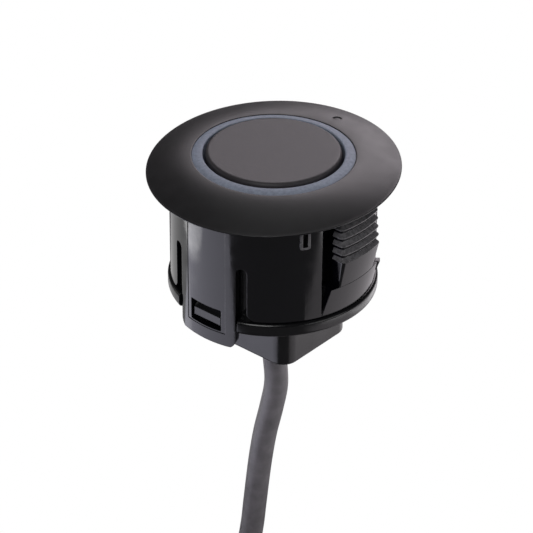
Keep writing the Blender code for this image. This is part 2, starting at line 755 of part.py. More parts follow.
def make_housing():
    """Build the barrel, bead, latch wedges and rear block as one moulding."""
    bead_top = -SLEEVE_LENGTH - BEAD_GAP
    floor = bead_top - BEAD_HEIGHT
    profile = [
        (HOUSING_BORE, -HOUSING_TOP),
        (HOUSING_RADIUS - HOUSING_EDGE, -HOUSING_TOP),
        (HOUSING_RADIUS, -HOUSING_TOP - HOUSING_EDGE),
        (HOUSING_RADIUS, bead_top),
    ]
    round_centre = BEAD_RADIUS - BEAD_ROUND
    profile += arc((round_centre, bead_top - BEAD_ROUND), BEAD_ROUND, 90, 0, 4)
    profile += arc((round_centre, floor + BEAD_ROUND), BEAD_ROUND, 0, -90, 4)
    profile += [(0.0, floor), (0.0, -HOUSING_FLOOR), (HOUSING_BORE, -HOUSING_FLOOR)]
    housing = turned_solid_floor("sensor_housing", profile)
    for side, angle in (("-y", 0.0), ("+y", math.pi)):
        gap = box_outline((ARM_HALF_ANGLE * SLEEVE_RADIUS) + CLEARANCE, bead_top + 0.0003, floor - 0.0003)
        cut(housing, wrapped("bead gap " + side, gap, HOUSING_RADIUS - 0.00005, BEAD_RADIUS + 0.001, angle))
    block = rounded_box(
        "block",
        (-BLOCK_HALF_X, -BLOCK_HALF_Y, -BLOCK_BOTTOM),
        (BLOCK_HALF_X, BLOCK_HALF_Y, floor + 0.0004),
        BLOCK_CORNER,
        BLOCK_EDGE,
        None,
        GUIDES,
    )
    fuse(housing, block)
    face = HOUSING_RADIUS + WEDGE_RISE
    wedge = [
        (-HOUSING_RADIUS + 0.0005, -WEDGE_TOP + 0.0003),
        (-HOUSING_RADIUS, -WEDGE_TOP),
        (-face, -WEDGE_CATCH + WEDGE_LAND),
        (-face, -WEDGE_CATCH),
        (-HOUSING_RADIUS + 0.0001, -WEDGE_CATCH - 0.0001),
        (-HOUSING_RADIUS + 0.0005, -GUSSET_BOTTOM),
        (-BLOCK_HALF_Y + 0.0004, -GUSSET_BOTTOM + 0.0009),
        (-BLOCK_HALF_Y + 0.0004, floor + 0.0005),
        (-HOUSING_RADIUS + 0.0005, floor + 0.0005),
    ]
    fuse(housing, prism("wedge -y", wedge, WEDGE_HALF_WIDTH, None, GUIDES))
    mirrored = [(-y, z) for y, z in reversed(wedge)]
    fuse(housing, prism("wedge +y", mirrored, WEDGE_HALF_WIDTH, None, GUIDES))
    pocket = rounded_box(
        "pocket",
        (-BLOCK_HALF_X + BLOCK_WALL, -BLOCK_HALF_Y + BLOCK_WALL, -BLOCK_BOTTOM - 0.0005),
        (BLOCK_HALF_X - BLOCK_WALL, BLOCK_HALF_Y - BLOCK_WALL, -HOUSING_FLOOR + 0.0005),
        BLOCK_CORNER - BLOCK_WALL,
        0.0,
        None,
        GUIDES,
    )
    cut(housing, pocket)
    bake(housing)
    smooth(housing)


def turned_solid_floor(name, profile):
    """Turn a profile that closes on the axis only at its floor."""
    turn_at = next(i for i, point in enumerate(profile) if point[0] == 0.0)
    ordered = profile[turn_at + 1:] + profile[:turn_at + 1]
    return turned(name, ordered, BLACK_GLOSS)


def make_board():
    """Build the circuit board and what is soldered to its two faces."""
    front = BOARD_FACE_Y
    back = BOARD_FACE_Y + BOARD_THICKNESS
    rounded_box(
        "circuit_board",
        (-BOARD_HALF_WIDTH, front, -BOARD_BOTTOM),
        (BOARD_HALF_WIDTH, back, -BOARD_TOP),
        material=BOARD_GREEN,
    )
    make_transformer(back + SOLDER_GAP)
    board_part("control_chip", CHIP_SIZE, 0.0, CHIP_DEPTH_Z, CHIP_BLACK)
    near_edge = BOARD_HALF_WIDTH - CERAMIC_INSET
    board_part("ceramic_capacitor_1", CERAMIC_SIZE, -near_edge, CERAMIC_DEPTH_Z, CERAMIC_TAN)
    board_part("ceramic_capacitor_2", CERAMIC_SIZE, near_edge, CERAMIC_DEPTH_Z, CERAMIC_TAN)
    near_edge = BOARD_HALF_WIDTH - RESISTOR_INSET
    for i, side in enumerate((-1, -1, 1)):
        name = "resistor_%d" % (i + 1)
        board_part(name, RESISTOR_SIZE, side * near_edge, RESISTOR_DEPTHS_Z[i], CHIP_BLACK)
    can = turned(
        "electrolytic_capacitor",
        rod_profile(CAN_RADIUS, CAN_LENGTH),
        ALUMINIUM,
        segments=24,
    )
    can.location = (CAN_OFFSET_X, back + SOLDER_GAP + CAN_RADIUS, -CAN_DEPTH_Z)
    can.rotation_euler = (0.0, math.pi / 2, 0.0)
    for i in range(3):
        pin = turned(
            "terminal_pin_%d" % (i + 1),
            rod_profile(PIN_RADIUS, PIN_LENGTH),
            TIN,
            segments=12,
        )
        pin.location = ((i - 1) * PIN_PITCH, front - SOLDER_GAP / 2 - PIN_LENGTH / 2, -PIN_DEPTH_Z)
        pin.rotation_euler = (math.pi / 2, 0.0, 0.0)


def rod_profile(radius, length):
    """Profile of a plain rod centred on the origin."""
    half = length / 2
    return [(0.0, half), (radius, half), (radius, -half), (0.0, -half)]


def board_part(name, size, x, depth, material):
    """Flat component on the board's front face."""
    outer = BOARD_FACE_Y - SOLDER_GAP
    low = (x - size[0] / 2, outer - size[1], -depth - size[2] / 2)
    high = (x + size[0] / 2, outer, -depth + size[2] / 2)
    rounded_box(name, low, high, material=material)


def make_transformer(face):
    """Drum core and its winding, standing off the board's back face."""
    waist = CORE_WAIST
    far = CORE_LENGTH / 2
    near = far - CORE_FLANGE
    core = turned(
        "transformer_core",
        [(0.0, far), (CORE_RADIUS, far), (CORE_RADIUS, near), (waist, near),
         (waist, -near), (CORE_RADIUS, -near), (CORE_RADIUS, -far), (0.0, -far)],
        FERRITE,
        segments=SMALL_SEGMENTS,
    )
    inner = waist + SOLDER_GAP / 2
    outer = CORE_RADIUS - 0.0002
    reach = near - SOLDER_GAP / 2
    winding = turned(
        "transformer_winding",
        [(inner, reach), (outer, reach), (outer, -reach), (inner, -reach)],
        COPPER,
        segments=SMALL_SEGMENTS,
    )
    for piece in (core, winding):
        piece.location = (0.0, face + far, -CORE_DEPTH_Z)
        piece.rotation_euler = (math.pi / 2, 0.0, 0.0)


def make_lead_exit():
    """Build the rear potting, the grommet, and the cores between lead and board."""
    gap = BLOCK_WALL + CLEARANCE
    fill = rounded_box(
        "rear_potting",
        (-BLOCK_HALF_X + gap, -BLOCK_HALF_Y + gap, -POTTING_BOTTOM),
        (BLOCK_HALF_X - gap, BLOCK_HALF_Y - gap, -POTTING_TOP),
        BLOCK_CORNER - BLOCK_WALL,
        0.0,
        POTTING,
    )
    hole = GROMMET_NECK + CLEARANCE
    plug = turned(
        "grommet hole",
        [(0.0, -POTTING_TOP + 0.001), (hole, -POTTING_TOP + 0.001), (hole, -POTTING_BOTTOM - 0.001),
         (0.0, -POTTING_BOTTOM - 0.001)],
        group=GUIDES,
        segments=SMALL_SEGMENTS,
    )
    cut(fill, plug)
    collar = -POTTING_TOP + CLEARANCE
    collar_top = collar + GROMMET_COLLAR_HEIGHT
    boot = -BLOCK_BOTTOM
    profile = [
        (CORD_BORE, collar_top),
        (GROMMET_COLLAR, collar_top),
        (GROMMET_COLLAR, collar),
        (GROMMET_NECK, collar),
        (GROMMET_NECK, boot),
        (BOOT_RADIUS, boot - 0.0002),
        (BOOT_TIP_RADIUS, -BOOT_BOTTOM),
        (CORD_BORE, -BOOT_BOTTOM),
    ]
    turned("cable_grommet", profile, RUBBER, segments=SMALL_SEGMENTS)
    pin_end = BOARD_FACE_Y - SOLDER_GAP / 2 - PIN_LENGTH - SOLDER_GAP - WIRE_RADIUS
    for i, material in enumerate((WIRE_RED, WIRE_WHITE, WIRE_DARK)):
        turn = math.radians(150.0 + 120.0 * i)
        start = (WIRE_CIRCLE * math.cos(turn), WIRE_CIRCLE * math.sin(turn))
        x = (i - 1) * PIN_PITCH
        route = [
            (start[0], start[1], -CORD_TOP + CLEARANCE),
            (start[0], start[1], -CORD_TOP + 0.0008),
            ((start[0] + x) / 2, (start[1] + pin_end) / 2, -CORD_TOP + 0.0016),
            (x, pin_end, -PIN_DEPTH_Z - 0.0006),
            (x, pin_end, -PIN_DEPTH_Z + 0.0003),
        ]
        tube("core_wire_%d" % (i + 1), smooth_route(route, 0.0007), WIRE_RADIUS, material, 1)


def coil_floor():
    """Height that the coil's tie and the plug rest on."""
    below = (COIL_LAYERS - 1) * TURN_PITCH + CORD_DIAMETER / 2 + COIL_SLACK
    return -COIL_TOP_TURN - below - CLEARANCE - TIE_THICKNESS


def make_lead():
    """Build the lead's free run, its coil, the tie and the short tail to the plug."""
    tube("sensor_lead", smooth_route(LEAD_ROUTE, 0.0032), CORD_DIAMETER / 2, CORD_GREY)
    margin = CORD_DIAMETER / 2 + COIL_SLACK
    top = -COIL_TOP_TURN + margin
    bottom = -COIL_TOP_TURN - (COIL_LAYERS - 1) * TURN_PITCH - margin
    inner = TURN_INNER - margin
    outer = TURN_OUTER + margin
    soft = CORD_DIAMETER / 2
    profile = arc((outer - soft, top - soft), soft, 90, 0, 3)
    profile += arc((outer - soft, bottom + soft), soft, 0, -90, 3)
    profile += arc((inner + soft, bottom + soft), soft, 270, 180, 3)
    profile += arc((inner + soft, top - soft), soft, 180, 90, 3)
    coil = turned("lead_coil", profile, CORD_GREY, segments=SMALL_SEGMENTS)
    coil.location = (*COIL_CENTRE, 0.0)
    make_tie(inner, outer, top, bottom)
    make_plug_end()


def band_block(name, low, high, corner, material=None, group=None):
    """Box whose four edges across the band are rounded, as the band bends round the turns."""
    lying_low = (low[0], low[2], low[1])
    lying_high = (high[0], high[2], high[1])
    item = rounded_box(name, lying_low, lying_high, corner, 0.0, material, group)
    item.data.transform(Matrix.Rotation(math.pi / 2, 4, "X"))
    return item


def make_tie(inner, outer, top, bottom):
    """Band round the coil's bundle of turns, with its locking head on the outside."""
    thick = TIE_THICKNESS
    half = TIE_WIDTH / 2
    low = (inner - CLEARANCE, bottom - CLEARANCE)
    high = (outer + CLEARANCE, top + CLEARANCE)
    band = band_block(
        "coil_tie",
        (low[0] - thick, -half, low[1] - thick),
        (high[0] + thick, half, high[1] + thick),
        TIE_CORNER + thick,
        TIE_BLACK,
    )
    inside = band_block(
        "tie inside", (low[0], -2 * half, low[1]), (high[0], 2 * half, high[1]), TIE_CORNER, None, GUIDES
    )
    middle = (top + bottom) / 2
    head = rounded_box(
        "tie head",
        (high[0] + thick / 2, -TIE_HEAD_WIDTH / 2, middle - TIE_HEAD_LENGTH / 2),
        (high[0] + thick + TIE_HEAD_RISE, TIE_HEAD_WIDTH / 2, middle + TIE_HEAD_LENGTH / 2),
        TIE_HEAD_RISE / 3,
        TIE_HEAD_RISE / 6,
        None,
        GUIDES,
    )
    for piece in (band, inside, head):
        piece.location = (*COIL_CENTRE, 0.0)
        piece.rotation_euler = (0.0, 0.0, TIE_ANGLE)
    cut(band, inside)
    fuse(band, head)


def plug_place():
    """Matrix from the plug's own frame (cord along +X, floor at z=0) to the part's."""
    near = Vector((math.sin(COIL_HEADING), -math.cos(COIL_HEADING), 0.0))
    start = Vector((*COIL_CENTRE, coil_floor())) + near * TURN_OUTER
    return Matrix.Translation(start) @ Matrix.Rotation(COIL_HEADING, 4, "Z")


def make_plug_end():
    """Build the tail, the plug housing, its seal and its three terminals."""
    place = plug_place()
    axis = PLUG_HEIGHT / 2
    low_turn = -COIL_TOP_TURN - (COIL_LAYERS - 1) * TURN_PITCH - coil_floor()
    tail_route = [
        (TAIL_START, 0.0, low_turn + 0.0010),
        ((TAIL_START + TAIL_END) / 2, 0.0, (low_turn + axis) / 2 + 0.0007),
        (TAIL_END, 0.0, axis),
        (PLUG_START + SEAL_DEPTH - CLEARANCE, 0.0, axis),
    ]
    tail = tube("lead_tail", smooth_route(tail_route, 0.0026), CORD_DIAMETER / 2, CORD_GREY)
    tail.matrix_world = place
    end = PLUG_START + PLUG_LENGTH
    body = rounded_box_along_x(
        "plug_housing",
        (PLUG_START, -PLUG_WIDTH / 2, 0.0),
        (end, PLUG_WIDTH / 2, PLUG_HEIGHT),
        PLUG_CORNER,
        PLUG_GREY,
    )
    nose = rounded_box_along_x(
        "plug nose",
        (end - 0.0005, -NOSE_WIDTH / 2, axis - NOSE_HEIGHT / 2),
        (end + NOSE_LENGTH, NOSE_WIDTH / 2, axis + NOSE_HEIGHT / 2),
        PLUG_CORNER / 2,
    )
    fuse(body, nose)
    make_latch(body, end, place)
    for i in range(SOCKET_COUNT):
        y = (i - (SOCKET_COUNT - 1) / 2) * SOCKET_PITCH
        half = SOCKET_SIZE / 2
        face = end + NOSE_LENGTH
        hole = rounded_box(
            "socket %d" % i,
            (face - SOCKET_DEPTH, y - half, axis - half),
            (face + 0.001, y + half, axis + half),
            group=GUIDES,
        )
        hole.matrix_world = place
        cut(body, hole)
        half = TERMINAL_SIZE / 2
        deep = face - SOCKET_DEPTH + CLEARANCE
        pin = rounded_box(
            "plug_terminal_%d" % (i + 1),
            (deep, y - half, axis - half),
            (deep + TERMINAL_LENGTH, y + half, axis + half),
            material=BRASS,
        )
        pin.matrix_world = place
    hole = turned(
        "seal hole",
        [(0.0, SEAL_DEPTH), (SEAL_HOLE_RADIUS, SEAL_DEPTH), (SEAL_HOLE_RADIUS, -0.001), (0.0, -0.001)],
        group=GUIDES,
        segments=SMALL_SEGMENTS,
    )
    along = place @ Matrix.Translation((PLUG_START, 0.0, axis)) @ Matrix.Rotation(math.pi / 2, 4, "Y")
    hole.matrix_world = along
    cut(body, hole)
    for piece in (body, nose):
        piece.matrix_world = place
    seal = [
        (SEAL_FLANGE_RADIUS, -0.0004 - CLEARANCE),
        (SEAL_FLANGE_RADIUS, -CLEARANCE),
        (SEAL_RADIUS, -CLEARANCE),
        (SEAL_RADIUS, SEAL_DEPTH - CLEARANCE),
        (CORD_BORE, SEAL_DEPTH - CLEARANCE),
        (CORD_BORE, -0.0004 - CLEARANCE),
    ]
    ring = turned("plug_seal", list(reversed(seal)), SEAL_BLUE, segments=SMALL_SEGMENTS)
    ring.matrix_world = along


def rounded_box_along_x(name, low, high, corner, material=None):
    """Box with its four edges along X rounded."""
    depth, width, height = (b - a for a, b in zip(low, high))
    middle = [(a + b) / 2 for a, b in zip(low, high)]
    group = PARTS if material else GUIDES
    half = (height / 2, width / 2, depth / 2)
    low_end = [-value for value in half]
    item = rounded_box(name, low_end, half, corner, 0.0003, material, group)
    turn = Matrix.Translation(middle) @ Matrix.Rotation(math.pi / 2, 4, "Y")
    item.data.transform(turn)
    return item


def make_latch(body, end, place):
    """Sprung release lever moulded on the top of the plug."""
    half = LATCH_WIDTH / 2
    low = PLUG_HEIGHT + LATCH_LIFT
    start = end - LATCH_REACH
    outline = [
        (start, low),
        (end - 0.0012, low),
        (end - 0.0004, PLUG_HEIGHT - 0.0003),
        (end + 0.0002, PLUG_HEIGHT - 0.0003),
        (end - 0.0002, low + LATCH_THICKNESS),
        (start, low + LATCH_THICKNESS + 0.0003),
        (start - 0.0006, low + LATCH_THICKNESS),
    ]
    lever = prism("plug latch", outline, half, None, GUIDES)
    lever.data.transform(Matrix.Rotation(-math.pi / 2, 4, "Z"))
    lever.matrix_world = place
    fuse(body, lever)


clear_scene()
PARTS = new_collection("parking_sensor")
GUIDES = new_collection("guides")

BLACK_SATIN = finish("bezel black", (0.020, 0.020, 0.021), 0.38)
BLACK_GLOSS = finish("housing black", (0.016, 0.016, 0.018), 0.25)
CUP_PAINT = finish("cup paint", (0.060, 0.057, 0.060), 0.50, 0.2)
SILICONE = finish("silicone", (0.215, 0.225, 0.255), 0.60)
CERAMIC = finish("piezo ceramic", (0.62, 0.60, 0.54), 0.35)
FOAM = finish("damping foam", (0.10, 0.10, 0.10), 0.95)
POTTING = finish("potting", (0.05, 0.05, 0.055), 0.30)
COPPER = finish("copper", (0.72, 0.38, 0.20), 0.30, 1.0)
BOARD_GREEN = finish("board", (0.03, 0.16, 0.07), 0.40)
FERRITE = finish("ferrite", (0.07, 0.07, 0.07), 0.50)
CHIP_BLACK = finish("chip black", (0.03, 0.03, 0.03), 0.45)
CERAMIC_TAN = finish("capacitor tan", (0.50, 0.38, 0.24), 0.50)
ALUMINIUM = finish("aluminium", (0.70, 0.70, 0.72), 0.30, 1.0)
TIN = finish("tin", (0.75, 0.75, 0.74), 0.30, 1.0)
BRASS = finish("brass", (0.72, 0.55, 0.25), 0.30, 1.0)
RUBBER = finish("grommet rubber", (0.03, 0.03, 0.03), 0.65)
CORD_GREY = finish("lead jacket", (0.085, 0.080, 0.084), 0.50)
TIE_BLACK = finish("tie", (0.03, 0.03, 0.03), 0.45)
PLUG_GREY = finish("plug", (0.05, 0.05, 0.055), 0.40)
SEAL_BLUE = finish("seal", (0.10, 0.16, 0.30), 0.60)
WIRE_RED = finish("wire red", (0.45, 0.03, 0.02), 0.45)
WIRE_WHITE = finish("wire white", (0.70, 0.70, 0.68), 0.45)
WIRE_DARK = finish("wire dark", (0.03, 0.03, 0.03), 0.45)

make_bezel()
make_transducer()
make_housing()
make_board()
make_lead_exit()
make_lead()
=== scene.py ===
"""Dressed model of a flush-mount parking sensor, its studio and its camera.

Each sub-assembly is a dataclass that holds its sizes in metres, builds its pieces and dresses
them with finishes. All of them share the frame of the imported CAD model: +Z out of the sensing
face, +Y the upper side of the angled bezel, and the origin on the flange's seat plane.
"""

import logging
import math
from dataclasses import dataclass, field
from enum import Enum
from typing import Callable, Sequence, Union

import bmesh
import bpy
from mathutils import Matrix, Vector


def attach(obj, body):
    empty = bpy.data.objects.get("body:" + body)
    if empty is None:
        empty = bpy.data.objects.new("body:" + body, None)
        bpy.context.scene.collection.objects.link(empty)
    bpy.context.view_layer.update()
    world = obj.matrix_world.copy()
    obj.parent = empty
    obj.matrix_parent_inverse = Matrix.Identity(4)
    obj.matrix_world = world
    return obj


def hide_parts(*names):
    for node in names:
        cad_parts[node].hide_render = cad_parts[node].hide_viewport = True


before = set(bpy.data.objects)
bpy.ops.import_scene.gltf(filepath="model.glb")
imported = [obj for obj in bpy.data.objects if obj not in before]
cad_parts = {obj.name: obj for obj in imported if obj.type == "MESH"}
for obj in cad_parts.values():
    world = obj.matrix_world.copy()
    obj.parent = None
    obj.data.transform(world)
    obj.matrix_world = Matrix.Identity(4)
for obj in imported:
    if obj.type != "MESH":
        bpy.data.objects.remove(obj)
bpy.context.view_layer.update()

LOG = logging.getLogger("parking_sensor")
MM = 0.001
MERGE = 0.000001

Point2 = tuple[float, float]
Point3 = tuple[float, float, float]
Radius = Union[float, Callable[[float], float]]


class Slot(Enum):
    """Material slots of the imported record."""

    BEZEL = "bezel_plastic"
    CUP = "cup_paint"
    SILICONE = "silicone"
    HOUSING = "housing_plastic"
    CERAMIC = "piezo_ceramic"
    FOAM = "foam"
    POTTING = "potting"
    COPPER = "copper"
    BOARD = "board"
    FERRITE = "ferrite"
    CHIP = "chip_plastic"
    CAPACITOR = "capacitor_ceramic"
    CAN = "capacitor_can"
    TIN = "tin"
    WIRE_RED = "wire_red"
    WIRE_WHITE = "wire_white"
    WIRE_DARK = "wire_dark"
    GROMMET = "grommet_rubber"
    LEAD = "lead_jacket"
    TIE = "tie_plastic"
    PLUG = "plug_plastic"
    SEAL = "seal_rubber"
    TERMINAL = "terminal_brass"


class Side(Enum):
    """The two opposite sides of the sleeve, as turns about the sensor's axis."""

    NEAR = 0.0
    FAR = math.pi


class Outline(Enum):
    """Outline of a soft box."""

    RECTANGLE = "RECTANGLE"
    ELLIPSE = "ELLIPSE"


@dataclass(frozen=True)
class Grain:
    """Fine surface relief and colour change of a finish.

    Attributes:
        relief_size: Width of a bump in metres.
        relief: Height of the bumps in metres.
        mottle_size: Width of a patch of colour in metres.
        mottle: Share by which the colour changes between patches.
        gloss_change: Amount by which the roughness changes between patches.
    """

    relief_size: float = 0.15 * MM
    relief: float = 0.002 * MM
    mottle_size: float = 1.2 * MM
    mottle: float = 0.10
    gloss_change: float = 0.04


@dataclass(frozen=True)
class Finish:
    """Procedural surface, made once and shared by its pieces.

    Attributes:
        name: Name of the Blender material, after the word "visual".
        colour: Linear base colour.
        roughness: Mean roughness.
        metallic: Metallic share.
        specular: Specular level of the shader.
        coat: Weight of a clear coat.
        edge: Radius in metres that sharp edges are softened to.
        grain: Fine relief and colour change.
    """

    name: str
    colour: Point3
    roughness: float
    metallic: float = 0.0
    specular: float = 0.5
    coat: float = 0.0
    edge: float = 0.05 * MM
    grain: Grain = field(default_factory=Grain)

    def material(self) -> bpy.types.Material:
        """Return the material, and build it on first use."""
        found = bpy.data.materials.get(self._full_name())
        return found if found is not None else self._build()

    def _full_name(self) -> str:
        """Return the material's name, which no material of the CAD model has."""
        return "visual " + self.name

    def _build(self) -> bpy.types.Material:
        """Build the node tree: mottled colour and gloss, soft edges and fine relief.

        Returns:
            The new material.
        """
        material = bpy.data.materials.new(self._full_name())
        material.use_nodes = True
        tree = material.node_tree
        shader = tree.nodes["Principled BSDF"]
        shader.inputs["Metallic"].default_value = self.metallic
        shader.inputs["Specular IOR Level"].default_value = self.specular
        shader.inputs["Coat Weight"].default_value = self.coat
        place = tree.nodes.new("ShaderNodeTexCoord")
        patches = self._noise(tree, place, self.grain.mottle_size, 3.0)
        self._blend_colour(tree, patches, shader)
        self._blend_gloss(tree, patches, shader)
        relief = self._noise(tree, place, self.grain.relief_size, 2.0)
        self._raise_grain(tree, relief, shader)
        return material

    @staticmethod
    def _noise(tree: bpy.types.NodeTree, place: bpy.types.Node, size: float, detail: float) -> bpy.types.Node:
        """Add a noise texture whose features have the given width.

        Args:
            tree: Node tree of the material.
            place: Texture coordinate node.
            size: Width of one feature.
            detail: Octaves of finer noise.

        Returns:
            The noise node.
        """
        noise = tree.nodes.new("ShaderNodeTexNoise")
        noise.inputs["Scale"].default_value = 1.0 / size
        noise.inputs["Detail"].default_value = detail
        tree.links.new(place.outputs["Object"], noise.inputs["Vector"])
        return noise

    def _blend_colour(self, tree: bpy.types.NodeTree, noise: bpy.types.Node, shader: bpy.types.Node) -> None:
        """Vary the base colour between a darker and a lighter tone.

        Args:
            tree: Node tree of the material.
            noise: Noise that drives the change.
            shader: Shader node that takes it.
        """
        ramp = tree.nodes.new("ShaderNodeValToRGB")
        low, high = ramp.color_ramp.elements
        low.position = 0.30
        high.position = 0.70
        low.color = (*(c * (1.0 - self.grain.mottle) for c in self.colour), 1.0)
        high.color = (*(c * (1.0 + self.grain.mottle) for c in self.colour), 1.0)
        tree.links.new(noise.outputs["Fac"], ramp.inputs["Fac"])
        tree.links.new(ramp.outputs["Color"], shader.inputs["Base Color"])

    def _blend_gloss(self, tree: bpy.types.NodeTree, noise: bpy.types.Node, shader: bpy.types.Node) -> None:
        """Vary the roughness round its mean.

        Args:
            tree: Node tree of the material.
            noise: Noise that drives the change.
            shader: Shader node that takes it.
        """
        gloss = tree.nodes.new("ShaderNodeMapRange")
        gloss.inputs["From Min"].default_value = 0.3
        gloss.inputs["From Max"].default_value = 0.7
        gloss.inputs["To Min"].default_value = max(0.02, self.roughness - self.grain.gloss_change)
        gloss.inputs["To Max"].default_value = min(1.0, self.roughness + self.grain.gloss_change)
        tree.links.new(noise.outputs["Fac"], gloss.inputs["Value"])
        tree.links.new(gloss.outputs["Result"], shader.inputs["Roughness"])

    def _raise_grain(self, tree: bpy.types.NodeTree, noise: bpy.types.Node, shader: bpy.types.Node) -> None:
        """Raise the fine relief over normals that are rounded at sharp edges.

        Args:
            tree: Node tree of the material.
            noise: Noise that drives the change.
            shader: Shader node that takes it.
        """
        soft = tree.nodes.new("ShaderNodeBevel")
        soft.samples = 6
        soft.inputs["Radius"].default_value = self.edge
        bump = tree.nodes.new("ShaderNodeBump")
        bump.inputs["Strength"].default_value = 1.0
        bump.inputs["Distance"].default_value = self.grain.relief
        tree.links.new(noise.outputs["Fac"], bump.inputs["Height"])
        tree.links.new(soft.outputs["Normal"], bump.inputs["Normal"])
        tree.links.new(bump.outputs["Normal"], shader.inputs["Normal"])


@dataclass(frozen=True)
class JacketFinish(Finish):
    """Extruded cable jacket: fine wrinkles run aslant round it."""

    wrinkle_size: float = 1.6 * MM
    wrinkle: float = 0.03 * MM
    wrinkle_stretch: Point3 = (1.0, 1.0, 2.6)
    wrinkle_slant: Point3 = (0.5, 0.35, 0.0)

    def _raise_grain(self, tree: bpy.types.NodeTree, noise: bpy.types.Node, shader: bpy.types.Node) -> None:
        """Raise broad wrinkles first and the fine relief over them.

        Args:
            tree: Node tree of the material.
            noise: Noise that drives the change.
            shader: Shader node that takes it.
        """
        super()._raise_grain(tree, noise, shader)
        place = tree.nodes["Texture Coordinate"]
        mapping = tree.nodes.new("ShaderNodeMapping")
        mapping.inputs["Scale"].default_value = self.wrinkle_stretch
        mapping.inputs["Rotation"].default_value = self.wrinkle_slant
        wrinkles = tree.nodes.new("ShaderNodeTexNoise")
        wrinkles.inputs["Scale"].default_value = 1.0 / self.wrinkle_size
        wrinkles.inputs["Detail"].default_value = 1.0
        bump = tree.nodes.new("ShaderNodeBump")
        bump.inputs["Distance"].default_value = self.wrinkle
        fine = next(n for n in tree.nodes if n.bl_idname == "ShaderNodeBump" and n != bump)
        tree.links.new(place.outputs["Object"], mapping.inputs["Vector"])
        tree.links.new(mapping.outputs["Vector"], wrinkles.inputs["Vector"])
        tree.links.new(wrinkles.outputs["Fac"], bump.inputs["Height"])
        tree.links.new(fine.outputs["Normal"], bump.inputs["Normal"])
        tree.links.new(bump.outputs["Normal"], shader.inputs["Normal"])


SATIN_BLACK = Finish(
    "flange satin", (0.020, 0.0195, 0.021), 0.42, edge=0.20 * MM,
    grain=Grain(0.18 * MM, 0.0050 * MM, 1.6 * MM, 0.08, 0.03),
)
SLEEVE_BLACK = Finish(
    "sleeve gloss", (0.0025, 0.0025, 0.0042), 0.10, edge=0.10 * MM,
    grain=Grain(0.7 * MM, 0.0024 * MM, 2.0 * MM, 0.10, 0.04),
)
# Rougher satin for the black moulding's teeth, key and rib. Its grey colour, far lighter than the sleeve's,
# is painted light on faces that the flange overhang shades.
TOOTH_GREY_PAINTED_LIGHT = Finish(
    "tooth satin painted light", (0.150, 0.146, 0.155), 0.28, edge=0.10 * MM,
    grain=Grain(0.16 * MM, 0.0100 * MM, 0.5 * MM, 0.25, 0.06),
)
HOUSING_BLACK = Finish(
    "housing gloss", (0.0040, 0.0040, 0.0052), 0.22, edge=0.12 * MM,
    grain=Grain(0.6 * MM, 0.0010 * MM, 2.2 * MM, 0.10, 0.04),
)
CUP_PAINT = Finish(
    "cup paint", (0.044, 0.040, 0.045), 0.50, edge=0.06 * MM,
    grain=Grain(0.09 * MM, 0.0022 * MM, 0.35 * MM, 0.12, 0.05),
)
SILICONE_GREY = Finish(
    "silicone", (0.285, 0.325, 0.410), 0.58, specular=0.32, edge=0.05 * MM,
    grain=Grain(0.18 * MM, 0.004 * MM, 0.40 * MM, 0.16, 0.06),
)
CERAMIC = Finish(
    "fired ceramic", (0.62, 0.60, 0.54), 0.35,
    grain=Grain(0.1 * MM, 0.002 * MM, 0.8 * MM, 0.05),
)
FOAM = Finish("damping foam", (0.10, 0.10, 0.10), 0.95, grain=Grain(0.25 * MM, 0.05 * MM, 0.6 * MM, 0.3))
POTTING = Finish("potting", (0.045, 0.045, 0.050), 0.28, grain=Grain(1.2 * MM, 0.02 * MM, 2.0 * MM, 0.15))
COPPER = Finish("copper", (0.72, 0.38, 0.20), 0.30, metallic=1.0, grain=Grain(0.08 * MM, 0.002 * MM))
BOARD_MASK = Finish(
    "solder mask", (0.03, 0.16, 0.07), 0.38,
    grain=Grain(0.3 * MM, 0.004 * MM, 1.2 * MM, 0.15),
)
FERRITE = Finish("ferrite", (0.07, 0.07, 0.07), 0.50, grain=Grain(0.08 * MM, 0.003 * MM, 0.5 * MM, 0.2))
CHIP = Finish("encapsulant", (0.03, 0.03, 0.03), 0.45, grain=Grain(0.06 * MM, 0.002 * MM, 0.5 * MM, 0.1))
TAN = Finish("tan ceramic", (0.50, 0.38, 0.24), 0.50, grain=Grain(0.1 * MM, 0.003 * MM, 0.5 * MM, 0.12))
CAN = Finish("drawn can", (0.70, 0.70, 0.72), 0.28, metallic=1.0, grain=Grain(0.05 * MM, 0.001 * MM))
TIN = Finish("tinned metal", (0.75, 0.75, 0.74), 0.30, metallic=1.0, grain=Grain(0.05 * MM, 0.001 * MM))
RED = Finish("red core", (0.45, 0.03, 0.02), 0.42, grain=Grain(0.2 * MM, 0.002 * MM, 1.0 * MM, 0.12))
WHITE = Finish("white core", (0.70, 0.70, 0.68), 0.42, grain=Grain(0.2 * MM, 0.002 * MM, 1.0 * MM, 0.06))
DARK = Finish("dark core", (0.03, 0.03, 0.03), 0.42, grain=Grain(0.2 * MM, 0.002 * MM, 1.0 * MM, 0.12))
RUBBER = Finish(
    "grommet rubber", (0.025, 0.025, 0.026), 0.60,
    grain=Grain(0.15 * MM, 0.004 * MM, 0.8 * MM, 0.15),
)
JACKET = JacketFinish(
    "lead jacket", (0.195, 0.184, 0.199), 0.40, specular=0.65, edge=0.02 * MM,
    grain=Grain(0.16 * MM, 0.004 * MM, 1.8 * MM, 0.20, 0.08),
)
NYLON = Finish("tie nylon", (0.03, 0.03, 0.03), 0.42, grain=Grain(0.3 * MM, 0.003 * MM, 1.0 * MM, 0.12))
PLUG_BLACK = Finish(
    "plug moulding", (0.045, 0.045, 0.05), 0.36, edge=0.08 * MM,
    grain=Grain(0.12 * MM, 0.003 * MM),
)
SEAL_BLUE = Finish("wire seal", (0.08, 0.14, 0.28), 0.55, grain=Grain(0.15 * MM, 0.003 * MM, 0.8 * MM, 0.15))
BRASS = Finish("stamped brass", (0.72, 0.55, 0.25), 0.28, metallic=1.0, grain=Grain(0.05 * MM, 0.001 * MM))


